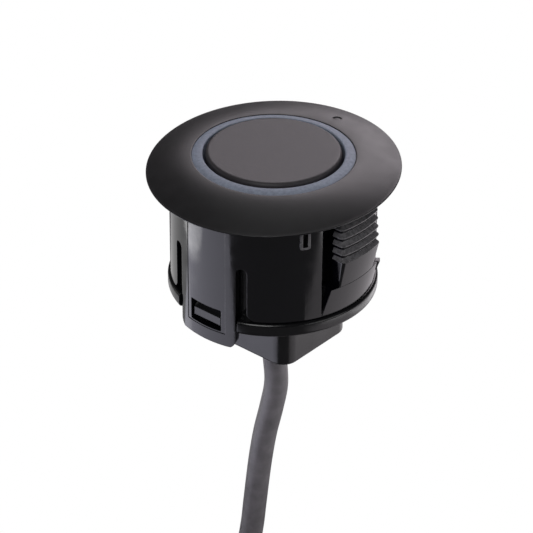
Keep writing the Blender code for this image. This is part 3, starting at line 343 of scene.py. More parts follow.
class Mesher:
    """Mesh tools that the sub-assemblies share."""

    @staticmethod
    def object(name: str, data: bpy.types.ID) -> bpy.types.Object:
        """Put mesh or curve data into the scene as an object.

        Args:
            name: Name of the object.
            data: Its mesh or curve.

        Returns:
            The object, linked to the scene.
        """
        item = bpy.data.objects.new(name, data)
        bpy.context.scene.collection.objects.link(item)
        return item

    @staticmethod
    def from_bmesh(name: str, bm: bmesh.types.BMesh) -> bpy.types.Object:
        """Turn a bmesh into an object with its faces pointing out.

        Args:
            name: Name of the object.
            bm: The mesh, which is freed here.

        Returns:
            The object.
        """
        bmesh.ops.recalc_face_normals(bm, faces=bm.faces[:])
        mesh = bpy.data.meshes.new(name)
        bm.to_mesh(mesh)
        bm.free()
        return Mesher.object(name, mesh)

    @staticmethod
    def smooth(item: bpy.types.Object, angle: float = 30.0) -> bpy.types.Object:
        """Shade an object smooth, with edges over the angle kept sharp.

        Args:
            item: The object.
            angle: Edges sharper than this many degrees stay sharp.

        Returns:
            The same object.
        """
        item.data.shade_smooth()
        item.data.set_sharp_from_angle(angle=math.radians(angle))
        return item

    @staticmethod
    def arc(centre: Point2, radius: float, start: float, end: float, steps: int = 6) -> list[Point2]:
        """Return points on an arc of a profile, with both ends.

        Args:
            centre: Centre of the arc.
            radius: Radius of the arc.
            start: First angle in degrees.
            end: Last angle in degrees.
            steps: Number of chords.
        """
        angles = [math.radians(start + (end - start) * i / steps) for i in range(steps + 1)]
        return [(centre[0] + radius * math.cos(a), centre[1] + radius * math.sin(a)) for a in angles]

    @staticmethod
    def turned(
        name: str, profile: Sequence[Point2], segments: int = 160, angle: float = 30.0
    ) -> bpy.types.Object:
        """Turn a profile of (radius, height) points round +Z.

        Args:
            name: Name of the object.
            profile: Closed outline, or one whose two ends are on the axis.
            segments: Steps round the axis.
            angle: Edges sharper than this many degrees stay sharp.

        Returns:
            The turned object.
        """
        bm = bmesh.new()
        on_axis = profile[0][0] == 0.0 and profile[-1][0] == 0.0
        rings = []
        for radius, height in profile:
            if radius == 0.0:
                rings.append([bm.verts.new((0.0, 0.0, height))])
                continue
            turns = [2 * math.pi * i / segments for i in range(segments)]
            rings.append([bm.verts.new((radius * math.cos(t), radius * math.sin(t), height)) for t in turns])
        pairs = list(zip(rings, rings[1:]))
        if not on_axis:
            pairs.append((rings[-1], rings[0]))
        for upper, lower in pairs:
            for i in range(segments):
                j = (i + 1) % segments
                top = (upper[i % len(upper)], upper[j % len(upper)])
                foot = (lower[j % len(lower)], lower[i % len(lower)])
                unique = list(dict.fromkeys(top + foot))
                if len(unique) > 2:
                    bm.faces.new(unique)
        return Mesher.smooth(Mesher.from_bmesh(name, bm), angle)

    @staticmethod
    def wrapped(
        name: str,
        outline: Sequence[Point2],
        inner: float,
        outer: Radius,
        turn: float,
        sleeve: float,
        step: float = 0.5 * MM,
    ) -> bpy.types.Object:
        """Bend a plate round the sensor's axis.

        Args:
            name: Name of the object.
            outline: Outline in (arc length, height), arc length from the facing direction.
            inner: Inner radius.
            outer: Outer radius, or a function that gives it for a height.
            turn: Facing direction in radians, from -Y towards +X.
            sleeve: Radius on which arc length is measured.
            step: Longest chord round the axis.

        Returns:
            The bent plate.
        """
        bm = bmesh.new()
        bm.faces.new([bm.verts.new((along, 0.0, height)) for along, height in outline])
        low = min(p[0] for p in outline)
        high = max(p[0] for p in outline)
        count = math.ceil((high - low) / step) | 1
        for i in range(1, count):
            bmesh.ops.bisect_plane(
                bm,
                geom=bm.verts[:] + bm.edges[:] + bm.faces[:],
                plane_co=(low + (high - low) * i / count, 0.0, 0.0),
                plane_no=(1.0, 0.0, 0.0),
                dist=MERGE / 10,
            )
        front = bm.verts[:]
        grown = bmesh.ops.extrude_face_region(bm, geom=bm.faces[:])
        back = [v for v in grown["geom"] if isinstance(v, bmesh.types.BMVert)]
        for vert in front:
            Mesher._bend(vert, inner, turn, sleeve)
        for vert in back:
            Mesher._bend(vert, outer(vert.co.z) if callable(outer) else outer, turn, sleeve)
        bmesh.ops.triangulate(bm, faces=bm.faces[:])
        return Mesher.from_bmesh(name, bm)

    @staticmethod
    def _bend(vert: bmesh.types.BMVert, radius: float, turn: float, sleeve: float) -> None:
        """Move a vertex from the flat outline onto a cylinder of the given radius."""
        angle = vert.co.x / sleeve + turn
        vert.co = Vector((radius * math.sin(angle), -radius * math.cos(angle), vert.co.z))

    @staticmethod
    def box(
        name: str, low: Point3, high: Point3, corner: float = 0.0, edge: float = 0.0, steps: int = 5
    ) -> bpy.types.Object:
        """Make a box with rounded upright edges and eased ends.

        Args:
            name: Name of the object.
            low: Lowest corner.
            high: Highest corner.
            corner: Radius of the upright edges.
            edge: Radius of the end edges.
            steps: Chords in each rounded corner.

        Returns:
            The box.
        """
        bm = bmesh.new()
        bmesh.ops.create_cube(bm, size=1.0)
        size = [b - a for a, b in zip(low, high)]
        bmesh.ops.scale(bm, vec=size, verts=bm.verts[:])
        bmesh.ops.translate(bm, vec=[(a + b) / 2 for a, b in zip(low, high)], verts=bm.verts[:])
        if corner > 0.0:
            upright = [e for e in bm.edges if abs(e.verts[0].co.z - e.verts[1].co.z) > size[2] / 2]
            bmesh.ops.bevel(bm, geom=upright, offset=corner, segments=steps, affect="EDGES", profile=0.5)
        if edge > 0.0:
            ends = [f for f in bm.faces if abs(f.normal.z) > 0.9]
            rims = list({e for f in ends for e in f.edges})
            bmesh.ops.bevel(bm, geom=rims, offset=edge, segments=3, affect="EDGES", profile=0.5)
        return Mesher.smooth(Mesher.from_bmesh(name, bm), 40.0)

    @staticmethod
    def prism(name: str, outline: Sequence[Point2], half_width: float) -> bpy.types.Object:
        """Make a solid along X with the given (y, z) outline.

        Args:
            name: Name of the object.
            outline: Points (y, z) round the solid.
            half_width: Half of its width along X.

        Returns:
            The solid.
        """
        bm = bmesh.new()
        face = bm.faces.new([bm.verts.new((-half_width, y, z)) for y, z in outline])
        grown = bmesh.ops.extrude_face_region(bm, geom=[face])
        moved = [v for v in grown["geom"] if isinstance(v, bmesh.types.BMVert)]
        bmesh.ops.translate(bm, vec=(2 * half_width, 0.0, 0.0), verts=moved)
        return Mesher.from_bmesh(name, bm)

    @staticmethod
    def combine(item: bpy.types.Object, operation: str, others: Sequence[bpy.types.Object]) -> None:
        """Cut solids from an object or join them to it, then discard them.

        Args:
            item: Object to change.
            operation: DIFFERENCE or UNION.
            others: Solids to use up.
        """
        for other in others:
            modifier = item.modifiers.new(other.name, "BOOLEAN")
            modifier.operation = operation
            modifier.object = other
        Mesher.apply(item)
        for other in others:
            bpy.data.objects.remove(other, do_unlink=True)

    @staticmethod
    def apply(item: bpy.types.Object) -> bpy.types.Object:
        """Replace an object's mesh with the one its modifiers make.

        Args:
            item: Object with modifiers.

        Returns:
            The same object, with none left.
        """
        graph = bpy.context.evaluated_depsgraph_get()
        mesh = bpy.data.meshes.new_from_object(item.evaluated_get(graph), depsgraph=graph)
        item.modifiers.clear()
        item.data = mesh
        return item

    @staticmethod
    def transformed(item: bpy.types.Object, matrix: Matrix) -> bpy.types.Object:
        """Move an object's mesh and leave the object at the origin."""
        item.data.transform(matrix)
        return item

    @staticmethod
    def polish(item: bpy.types.Object, angle: float = 30.0) -> bpy.types.Object:
        """Shade a cut mesh smooth with normals that follow its larger faces.

        Args:
            item: The object.
            angle: Edges sharper than this many degrees stay sharp.

        Returns:
            The same object.
        """
        Mesher.smooth(item, angle)
        modifier = item.modifiers.new("even normals", "WEIGHTED_NORMAL")
        modifier.keep_sharp = True
        modifier.weight = 60
        return Mesher.apply(item)


def mount(
    item: bpy.types.Object, finish: Finish, stands_for: Sequence[str] = ()
) -> bpy.types.Object:
    """Finish a piece and fix it to the model.

    Args:
        item: The piece.
        finish: Its surface.
        stands_for: CAD nodes that it takes the place of.

    Returns:
        The piece.
    """
    if not item.data.materials:
        item.data.materials.append(finish.material())
    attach(item, "root")
    if stands_for:
        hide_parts(*stands_for)
    LOG.info("%s: %s", item.name, finish.name)
    return item


def dress_node(name: str, finish: Finish) -> None:
    """Give a carried-over CAD node its finish.

    Args:
        name: Name of the node.
        finish: Its surface.
    """
    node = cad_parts[name]
    node.data.materials.clear()
    node.data.materials.append(finish.material())
    LOG.info("%s: %s, from the CAD model", name, finish.name)


@dataclass
class Bezel:
    """Flange, sleeve, latch arms and grip fingers, one moulding."""

    flange_radius: float = 15.0 * MM
    lean: float = math.radians(3.0)
    rim_height: float = 0.16 * MM
    rim_round: float = 0.06 * MM
    dome_height: float = 1.78 * MM
    dome_power: float = 1.7
    bore_radius: float = 9.63 * MM
    bore_edge: float = 0.04 * MM
    web_depth: float = 0.9 * MM
    seat_inner: float = 13.9 * MM
    seat_relief: float = 0.2 * MM
    sleeve_radius: float = 12.3 * MM
    sleeve_wall: float = 1.15 * MM
    sleeve_length: float = 13.8 * MM
    sleeve_corner: float = 1.0 * MM
    arm_length: float = 18.05 * MM
    arm_half_angle: float = math.radians(19.8)
    arm_corner: float = 1.2 * MM
    arm_slot_angle: float = math.radians(6.4)
    arm_slot_top: float = 6.9 * MM
    panel_half_angle: float = math.radians(13.6)
    panel_depth: float = 0.06 * MM
    window_half_width: float = 2.35 * MM
    window_top: float = 13.27 * MM
    window_bottom: float = 16.1 * MM
    window_corner: float = 0.18 * MM
    panel_inset: float = 0.1 * MM
    panel_foot: float = 0.2 * MM
    dimple_radius: float = 0.53 * MM
    dimple_depth: float = 0.14 * MM
    dimple_corner: float = 0.06 * MM
    dimple_crown: float = 0.09 * MM
    dimple_offset: float = 11.7 * MM
    finger_slot_half_angle: float = math.radians(22.3)
    finger_slot_top: float = 0.36 * MM
    finger_slot_bottom: float = 10.0 * MM
    finger_half_width: float = 3.35 * MM
    finger_inner_face: float = 11.75 * MM
    finger_tip_radius: float = 13.55 * MM
    finger_tip_growth: float = 0.09 * MM
    finger_corner: float = 0.5 * MM
    finger_top: float = 0.70 * MM
    tooth_count: int = 6
    tooth_pitch: float = 1.06 * MM
    tooth_depth: float = 0.36 * MM
    tooth_back: float = 0.66 * MM
    tooth_blunt: float = 0.035 * MM
    tooth_land_top: float = 0.02 * MM
    tooth_land_foot: float = 0.07 * MM
    tooth_land_end: float = 0.11 * MM
    first_tip: float = 1.01 * MM
    ramp_foot_radius: float = 13.08 * MM
    ramp_foot_drop: float = 0.1 * MM
    ramp_end_inset: float = 0.4 * MM
    ramp_end_drop: float = 0.7 * MM
    pad_radius: float = 13.13 * MM
    pad_top_angle: float = math.radians(18.6)
    pad_foot_angle: float = math.radians(21.9)
    pad_depth: float = 0.8 * MM
    pad_foot_gap: float = 0.1 * MM
    pad_overlap: float = 0.05 * MM
    vee_depth: float = 0.5 * MM
    vee_side_gap: float = 0.04 * MM
    vee_top_inset: float = 0.3 * MM
    vee_rise: float = 0.2 * MM
    vee_foot_gap: float = 0.4 * MM
    notch_angle: float = math.radians(57.5)
    notch_half_width: float = 0.62 * MM
    notch_top: float = 0.50 * MM
    notch_bottom: float = 4.05 * MM
    notch_corner: float = 0.25 * MM
    notch_rise: float = 0.20 * MM
    notch_depth: float = 0.4 * MM
    notch_slot_half_width: float = 0.29 * MM
    notch_slot_top: float = 0.70 * MM
    notch_slot_bottom: float = 3.75 * MM
    notch_slot_corner: float = 0.10 * MM
    notch_slot_depth: float = 0.7 * MM
    key_angle: float = math.radians(128.0)
    key_half_width: float = 0.4 * MM
    key_top: float = 12.3 * MM
    key_bottom: float = 13.5 * MM
    key_rise: float = 0.5 * MM
    key_depth: float = 0.5 * MM
    key_taper: float = 0.8
    overcut: float = 0.3 * MM
    cutter_reach: float = 2.0 * MM
    segments: int = 192

    @property
    def inside(self) -> float:
        """Radius at which a cutter through the sleeve's wall starts."""
        return self.sleeve_radius - self.sleeve_wall - self.overcut

    @property
    def outside(self) -> float:
        """Radius at which a cutter through the sleeve's wall ends."""
        return self.sleeve_radius + self.cutter_reach

    def seat_height(self, y: float) -> float:
        """Return the height of the leaning seat plane at a distance along Y."""
        return math.tan(self.lean) * y

    def face_share(self, radius: float) -> float:
        """Return how far a radius is from the bore to the rim, from 0 to 1."""
        reach = self.flange_radius - self.rim_round - self.bore_radius
        return min(1.0, max(0.0, (radius - self.bore_radius) / reach))

    def dome(self, radius: float) -> float:
        """Return the height of the flange's face before it leans."""
        rise = self.dome_height - self.rim_height
        return self.rim_height + rise * (1.0 - self.face_share(radius) ** self.dome_power)

    def face_height(self, y: float) -> float:
        """Return the height of the leaning face at a distance along Y."""
        return self.dome(y) + self.face_share(y) * self.seat_height(y)

    def _blank(self) -> bpy.types.Object:
        """Turn the flange and a sleeve as long as the arms, and lean the flange.

        Returns:
            The turned blank.
        """
        inner = self.sleeve_radius - self.sleeve_wall
        foot = 0.15 * MM
        start = self.bore_radius + self.bore_edge
        end = self.flange_radius - self.rim_round
        steps = 22
        profile = Mesher.arc((start, self.dome(start) - self.bore_edge), self.bore_edge, 180, 100, 6)
        for i in range(steps + 1):
            radius = start + (end - start) * i / steps
            profile.append((radius, self.dome(radius)))
        round_centre = (end, self.rim_height - self.rim_round)
        profile += Mesher.arc(round_centre, self.rim_round, 75, 0, 4)
        profile += Mesher.arc((end, self.rim_round), self.rim_round, 0, -90, 4)
        profile += [
            (self.seat_inner, 0.0),
            (self.seat_inner - self.seat_relief, self.seat_relief),
            (self.sleeve_radius + self.seat_relief, self.seat_relief),
            (self.sleeve_radius, 0.0),
            (self.sleeve_radius, -self.arm_length + foot),
            (self.sleeve_radius - foot, -self.arm_length),
            (inner + foot, -self.arm_length),
            (inner, -self.arm_length + foot),
            (inner, -self.web_depth - foot),
            (inner - foot, -self.web_depth),
            (self.bore_radius, -self.web_depth),
        ]
        item = Mesher.turned("bezel_moulding", profile, self.segments)
        for vert in item.data.vertices:
            if vert.co.z < -self.web_depth / 2:
                continue
            radius = math.hypot(vert.co.x, vert.co.y)
            share = 1.0
            if vert.co.z > self.rim_height - self.rim_round / 2:
                share = self.face_share(radius)
            vert.co.z += self.seat_height(vert.co.y) * share
        return item

    def _plate(
        self, name: str, outline: Sequence[Point2], inner: float, outer: Radius, turn: float
    ) -> bpy.types.Object:
        """Bend a plate round the sleeve."""
        return Mesher.wrapped(name, outline, inner, outer, turn, self.sleeve_radius)

    @staticmethod
    def _rectangle(half_width: float, top: float, bottom: float, corner: float = 0.0) -> list[Point2]:
        """Return a rectangle's outline, with its corners rounded if asked.

        Args:
            half_width: Half of the arc length.
            top: Upper height.
            bottom: Lower height.
            corner: Radius of the corners.

        Returns:
            The outline in (arc length, height).
        """
        if corner == 0.0:
            return [(-half_width, bottom), (half_width, bottom), (half_width, top), (-half_width, top)]
        x = half_width - corner
        points = Mesher.arc((x, bottom + corner), corner, -90, 0, 4)
        points += Mesher.arc((x, top - corner), corner, 0, 90, 4)
        points += Mesher.arc((-x, top - corner), corner, 90, 180, 4)
        points += Mesher.arc((-x, bottom + corner), corner, 180, 270, 4)
        return points

    def _side_relief(self, side: Side) -> bpy.types.Object:
        """Return the cutter for two arm slots and the band between sleeve and arm ends.

        Args:
            side: Side of the arm.

        Returns:
            The cutter.
        """
        half_turn = math.pi * self.sleeve_radius
        arm = self.arm_half_angle * self.sleeve_radius
        slot = self.arm_slot_angle * self.sleeve_radius
        tip = self.arm_corner
        foot = self.sleeve_corner
        half = [(arm - tip, -self.arm_length - 1.0 * MM)]
        half += Mesher.arc((arm - tip, -self.arm_length + tip), tip, -90, 0, 8)
        half += Mesher.arc((arm + slot / 2, -self.arm_slot_top - slot / 2), slot / 2, 180, 0, 14)
        half += Mesher.arc((arm + slot + foot, -self.sleeve_length + foot), foot, 180, 270, 8)
        other = [(half_turn - along, height) for along, height in reversed(half)]
        return self._plate("relief", half + other, self.inside, self.outside, side.value)

    def _arm_cutters(self, side: Side) -> list[bpy.types.Object]:
        """Return the cutters of one arm's window and of its shallow face panel.

        Args:
            side: Side of the arm.

        Returns:
            The window's cutter, then the panel's.
        """
        panel_top = self.seat_height(-self.sleeve_radius * math.cos(side.value)) - self.panel_inset
        half = self.panel_half_angle * self.sleeve_radius
        window = self._rectangle(
            self.window_half_width, -self.window_top, -self.window_bottom, self.window_corner
        )
        panel = self._rectangle(half, panel_top, -self.window_bottom - self.panel_foot)
        return [
            self._plate("window", window, self.inside, self.outside, side.value),
            self._plate("panel", panel, self.sleeve_radius - self.panel_depth, self.outside, side.value),
        ]

    def _pad_outer(self, height: float) -> float:
        """Return the outer radius of a finger's root pad at a height."""
        share = (-height - self.finger_slot_bottom) / (self.sleeve_length - self.finger_slot_bottom)
        return self.pad_radius + (self.sleeve_radius + 0.02 * MM - self.pad_radius) * share

    def _root_pad(self, turn: float) -> bpy.types.Object:
        """Return the raised root of one finger, wider at its foot.

        Args:
            turn: Facing direction of the finger in radians.

        Returns:
            The pad.
        """
        top = self.pad_top_angle * self.sleeve_radius
        foot = self.pad_foot_angle * self.sleeve_radius
        lower = -self.sleeve_length + self.pad_foot_gap
        upper = -self.finger_slot_bottom + self.pad_overlap
        outline = [(-foot, lower), (foot, lower), (top, upper), (-top, upper)]
        return self._plate("root pad", outline, self.sleeve_radius - self.pad_depth, self._pad_outer, turn)

    def _vee(self, turn: float, hand: int) -> bpy.types.Object:
        """Return the cutter of the blind groove on one side of a root pad.

        Args:
            turn: Facing direction of the finger in radians.
            hand: Which side of the pad, -1 or 1.

        Returns:
            The cutter.
        """
        edge = self.finger_slot_half_angle * self.sleeve_radius - self.vee_side_gap
        top = self.pad_top_angle * self.sleeve_radius
        upper = -self.finger_slot_bottom + self.vee_rise
        outline = [
            (hand * edge, upper),
            (hand * (top - self.vee_top_inset), upper),
            (hand * edge, -self.sleeve_length + self.vee_foot_gap),
        ]
        return self._plate("vee", outline, self.sleeve_radius - self.vee_depth, self.outside, turn)

    def _finger_ring(self, radius: float, half_width: float, corner: float, height: float) -> list[Point3]:
        """Return a finger's plan outline at one height: bowed face, rounded corners.

        Args:
            radius: Reach of the outer face.
            half_width: Half of the finger's width.
            corner: Radius of the outer corners.
            height: Height of the outline.

        Returns:
            The points of the outline.
        """
        reach = math.sqrt((radius - corner) ** 2 - (half_width - corner) ** 2)
        lean = math.atan2(half_width - corner, reach)
        points = [(self.finger_inner_face, -half_width)]
        steps = 6
        for i in range(steps + 1):
            turn = -math.pi / 2 + (math.pi / 2 - lean) * i / steps
            x = reach + corner * math.cos(turn)
            points.append((x, corner - half_width + corner * math.sin(turn)))
        for i in range(1, 10):
            turn = -lean + 2 * lean * i / 10
            points.append((radius * math.cos(turn), radius * math.sin(turn)))
        points += [(x, -y) for x, y in reversed(points[: steps + 2])]
        return [(x, y, height) for x, y in points]

    def _finger(self, side: Side) -> bpy.types.Object:
        """Loft one serrated finger through its tooth tips and the roots between them.

        Args:
            side: Side of the arm a quarter turn before the finger.

        Returns:
            The finger.
        """
        wide = self.finger_half_width
        narrow = wide - 0.8 * self.tooth_depth
        corner = self.finger_corner
        fine = corner / 2
        blunt = self.tooth_blunt
        levels = [(self.finger_tip_radius - 2 * self.tooth_depth, narrow, fine, -self.finger_top)]
        for i in range(self.tooth_count):
            tip = self.finger_tip_radius + (i - 1) * self.finger_tip_growth
            height = -self.first_tip - i * self.tooth_pitch
            levels.append((tip - blunt, wide - blunt, corner, height + 1.3 * blunt))
            levels.append((tip, wide, corner, height + self.tooth_land_top))
            levels.append((tip, wide, corner, height - self.tooth_land_foot))
            levels.append((tip - 0.5 * blunt, wide, corner, height - self.tooth_land_end))
            if i + 1 < self.tooth_count:
                levels.append((tip - self.tooth_depth, narrow, fine, height - self.tooth_back + blunt))
                levels.append((tip - self.tooth_depth, narrow, fine, height - self.tooth_back))
        foot, floor = self.ramp_foot_radius, -self.finger_slot_bottom
        levels.append((foot, narrow, fine, floor - self.ramp_foot_drop))
        levels.append((foot - self.ramp_end_inset, narrow, fine, floor - self.ramp_end_drop))
        bm = bmesh.new()
        rings = [[bm.verts.new(p) for p in self._finger_ring(*level)] for level in levels]
        for upper, lower in zip(rings, rings[1:]):
            for i in range(len(upper)):
                j = (i + 1) % len(upper)
                bm.faces.new((upper[i], upper[j], lower[j], lower[i]))
        bm.faces.new(rings[0])
        bm.faces.new(rings[-1])
        turn = Matrix.Rotation(side.value, 3, "Z")
        bmesh.ops.rotate(bm, verts=bm.verts[:], cent=(0, 0, 0), matrix=turn)
        return Mesher.from_bmesh("finger", bm)

    def _notch(self) -> tuple[bpy.types.Object, bpy.types.Object]:
        """Return the small U-shaped rib under the flange and the slot inside it.

        Returns:
            The rib, then the cutter of its slot.
        """
        outer = self.sleeve_radius + self.notch_rise
        rib = self._rectangle(
            self.notch_half_width, -self.notch_top, -self.notch_bottom, self.notch_corner
        )
        slot = self._rectangle(
            self.notch_slot_half_width, -self.notch_slot_top, -self.notch_slot_bottom, self.notch_slot_corner
        )
        return (
            self._plate("rib", rib, self.sleeve_radius - self.notch_depth, outer, self.notch_angle),
            self._plate(
                "slot", slot, self.sleeve_radius - self.notch_slot_depth, outer + 1 * MM, self.notch_angle
            ),
        )

    def _key_outer(self, height: float) -> float:
        """Return the outer radius of the key at a height."""
        share = (-height - self.key_top) / (self.key_bottom - self.key_top)
        return self.sleeve_radius + self.key_rise * (1.0 - self.key_taper * share)

    def _key(self) -> bpy.types.Object:
        """Return the small wedge-shaped key low on the sleeve.

        Returns:
            The key.
        """
        outline = self._rectangle(self.key_half_width, -self.key_top, -self.key_bottom)
        inner = self.sleeve_radius - self.key_depth
        return self._plate("key", outline, inner, self._key_outer, self.key_angle)

    def _dimple(self) -> bpy.types.Object:
        """Return the rounded pin that leaves the index dimple, square to the flange's face.

        Returns:
            The pin.
        """
        radius, corner, depth = self.dimple_radius, self.dimple_corner, self.dimple_depth
        profile = [(0.0, radius), (radius, radius)]
        profile += Mesher.arc((radius - corner, corner - depth), corner, 0, -90, 5)
        for share in (0.75, 0.5, 0.25, 0.0):
            profile.append(((radius - corner) * share, self.dimple_crown * (1 - share ** 2) - depth))
        pin = Mesher.turned("dimple", profile, 32)
        near, far = (self.face_height(self.dimple_offset + step) for step in (-radius, radius))
        tilt = Matrix.Rotation(math.atan2(far - near, 2 * radius), 4, "X")
        place = Matrix.Translation((0.0, self.dimple_offset, self.face_height(self.dimple_offset)))
        return Mesher.transformed(pin, place @ tilt)

    def build(self) -> bpy.types.Object:
        """Build the moulding.

        Returns:
            The finished moulding.
        """
        item = self._blank()
        half = self.finger_slot_half_angle * self.sleeve_radius
        for side in Side:
            facing = side.value + math.pi / 2
            slot = self._rectangle(half, -self.finger_slot_top, -self.finger_slot_bottom)
            cutters = [self._side_relief(side), self._plate("slot", slot, self.inside, self.outside, facing)]
            cutters += [self._vee(facing, hand) for hand in (-1, 1)]
            Mesher.combine(item, "DIFFERENCE", cutters)
            Mesher.combine(item, "UNION", [self._root_pad(facing), self._finger(side)])
            Mesher.combine(item, "DIFFERENCE", self._arm_cutters(side))
        rib, slot = self._notch()
        Mesher.combine(item, "UNION", [rib, self._key()])
        Mesher.combine(item, "DIFFERENCE", [slot, self._dimple()])
        return Mesher.polish(item)

    def _finish_index(self, face: bpy.types.MeshPolygon) -> int:
        """Return which of the three finishes a face has: flange satin, gloss, or the grey satin with painted
        light on teeth, key and rib.

        Args:
            face: Face of the moulding.

        Returns:
            Place of the finish in the moulding's list of materials.
        """
        x, y, z = face.center
        near = 0.02 * MM
        margin = 0.1 * MM
        radius = math.hypot(x, y)
        on_face = self.bore_radius < radius < self.flange_radius - near
        if on_face and z > self.seat_height(y) + near / 2:
            return 0
        last_tip = self.first_tip + (self.tooth_count - 1) * self.tooth_pitch
        on_finger = abs(y) < self.finger_half_width and radius > self.finger_inner_face + margin
        on_tooth = on_finger and self.finger_top < -z < last_tip + near and face.normal.z > -0.3
        turn = math.atan2(x, -y)
        raised = radius > self.sleeve_radius + margin / 2
        beside_key = abs(turn - self.key_angle) < 0.05
        on_key = raised and beside_key and self.key_top - margin < -z < self.key_bottom + margin
        beside_rib = abs(turn - self.notch_angle) < 0.07
        on_rib = raised and beside_rib and self.notch_top - margin < -z < self.notch_bottom + margin
        # Teeth, key and rib take the grey satin; its lightness is painted light, its roughness is the real
        # satin.
        return 2 if on_tooth or on_key or on_rib else 1

    def dress(self, item: bpy.types.Object) -> None:
        """Give the flange its satin grain, the sleeve its gloss, and the teeth, key and rib a rougher satin
        whose grey colour is painted light.

        Args:
            item: The moulding.
        """
        item.data.materials.clear()
        for finish in (SATIN_BLACK, SLEEVE_BLACK, TOOTH_GREY_PAINTED_LIGHT):
            item.data.materials.append(finish.material())
        for face in item.data.polygons:
            face.material_index = self._finish_index(face)
        mount(item, SATIN_BLACK, ["bezel"])


@dataclass
class Transducer:
    """Painted cup in its silicone ring, and what the cup holds."""

    cup_radius: float = 7.98 * MM
    cup_edge: float = 0.42 * MM
    cup_face_rings: tuple[float, ...] = (0.1 * MM, 0.02 * MM)
    cup_top: float = 2.32 * MM
    cup_face: float = 0.9 * MM
    cup_wall: float = 1.0 * MM
    rim_radius: float = 8.63 * MM
    rim_top: float = 5.6 * MM
    cup_bottom: float = 6.6 * MM
    ring_radius: float = 9.61 * MM
    ring_bore: float = 8.33 * MM
    ring_top: float = 1.72 * MM
    ring_crest: float = 2.00 * MM
    ring_power: float = 2.2
    ring_edge: float = 0.16 * MM
    ring_outer_edge: float = 0.05 * MM
    ring_bottom: float = 7.6 * MM
    ring_lip_bore: float = 7.4 * MM
    gap: float = 0.3 * MM

    def build(self) -> tuple[bpy.types.Object, bpy.types.Object]:
        """Build the cup and the ring."""
        return self._cup(), self._ring()

    def _cup(self) -> bpy.types.Object:
        """Turn the cup with its flat face split in rings, so that its shading stays flat.

        Returns:
            The cup.
        """
        inner = self.cup_radius - self.cup_wall
        ceiling = self.cup_top - self.cup_face
        edge = self.cup_edge
        face = self.cup_radius - edge
        profile = [(0.0, self.cup_top)]
        profile += [(face - inset, self.cup_top) for inset in self.cup_face_rings]
        profile += Mesher.arc((self.cup_radius - edge, self.cup_top - edge), edge, 90, 0, 6)
        profile += [
            (self.cup_radius, -self.rim_top),
            (self.rim_radius, -self.rim_top),
            (self.rim_radius, -self.cup_bottom),
            (inner, -self.cup_bottom),
        ]
        profile += Mesher.arc((inner - edge, ceiling - edge), edge, 0, 90, 4)
        profile += [(0.0, ceiling)]
        return Mesher.turned("sensing_cup", profile)

    def _ring(self) -> bpy.types.Object:
        """Turn the ring, whose top falls from its crest at the cup to its outer edge.

        Returns:
            The ring.
        """
        groove = self.rim_radius + self.gap
        edge = self.ring_edge
        rim = self.ring_outer_edge
        start = self.ring_bore + edge
        end = self.ring_radius - rim
        profile = Mesher.arc((start, self.ring_crest - edge), edge, 180, 90, 4)
        for i in range(1, 8):
            share = i / 8
            fall = (self.ring_crest - self.ring_top) * share ** self.ring_power
            profile.append((start + (end - start) * share, self.ring_crest - fall))
        profile += Mesher.arc((end, self.ring_top - rim), rim, 75, 0, 4)
        profile += [
            (self.ring_radius, -self.ring_bottom),
            (self.ring_lip_bore, -self.ring_bottom),
            (self.ring_lip_bore, -self.cup_bottom - self.gap),
            (groove, -self.cup_bottom - self.gap),
            (groove, -self.rim_top + self.gap),
            (self.ring_bore, -self.rim_top + self.gap),
        ]
        return Mesher.turned("silicone_ring", profile, angle=50.0)

    def dress(self, pieces: tuple[bpy.types.Object, bpy.types.Object]) -> None:
        """Paint the cup and finish the ring and the pieces inside the cup.

        Args:
            pieces: The cup and the ring.
        """
        cup, ring = pieces
        mount(cup, CUP_PAINT, ["transducer_cup"])
        mount(ring, SILICONE_GREY, ["decoupling_ring"])
        dress_node("piezo_disc", CERAMIC)
        dress_node("damping_pad", FOAM)
        dress_node("cup_backfill", POTTING)
        dress_node("piezo_lead_a", COPPER)
        dress_node("piezo_lead_b", COPPER)


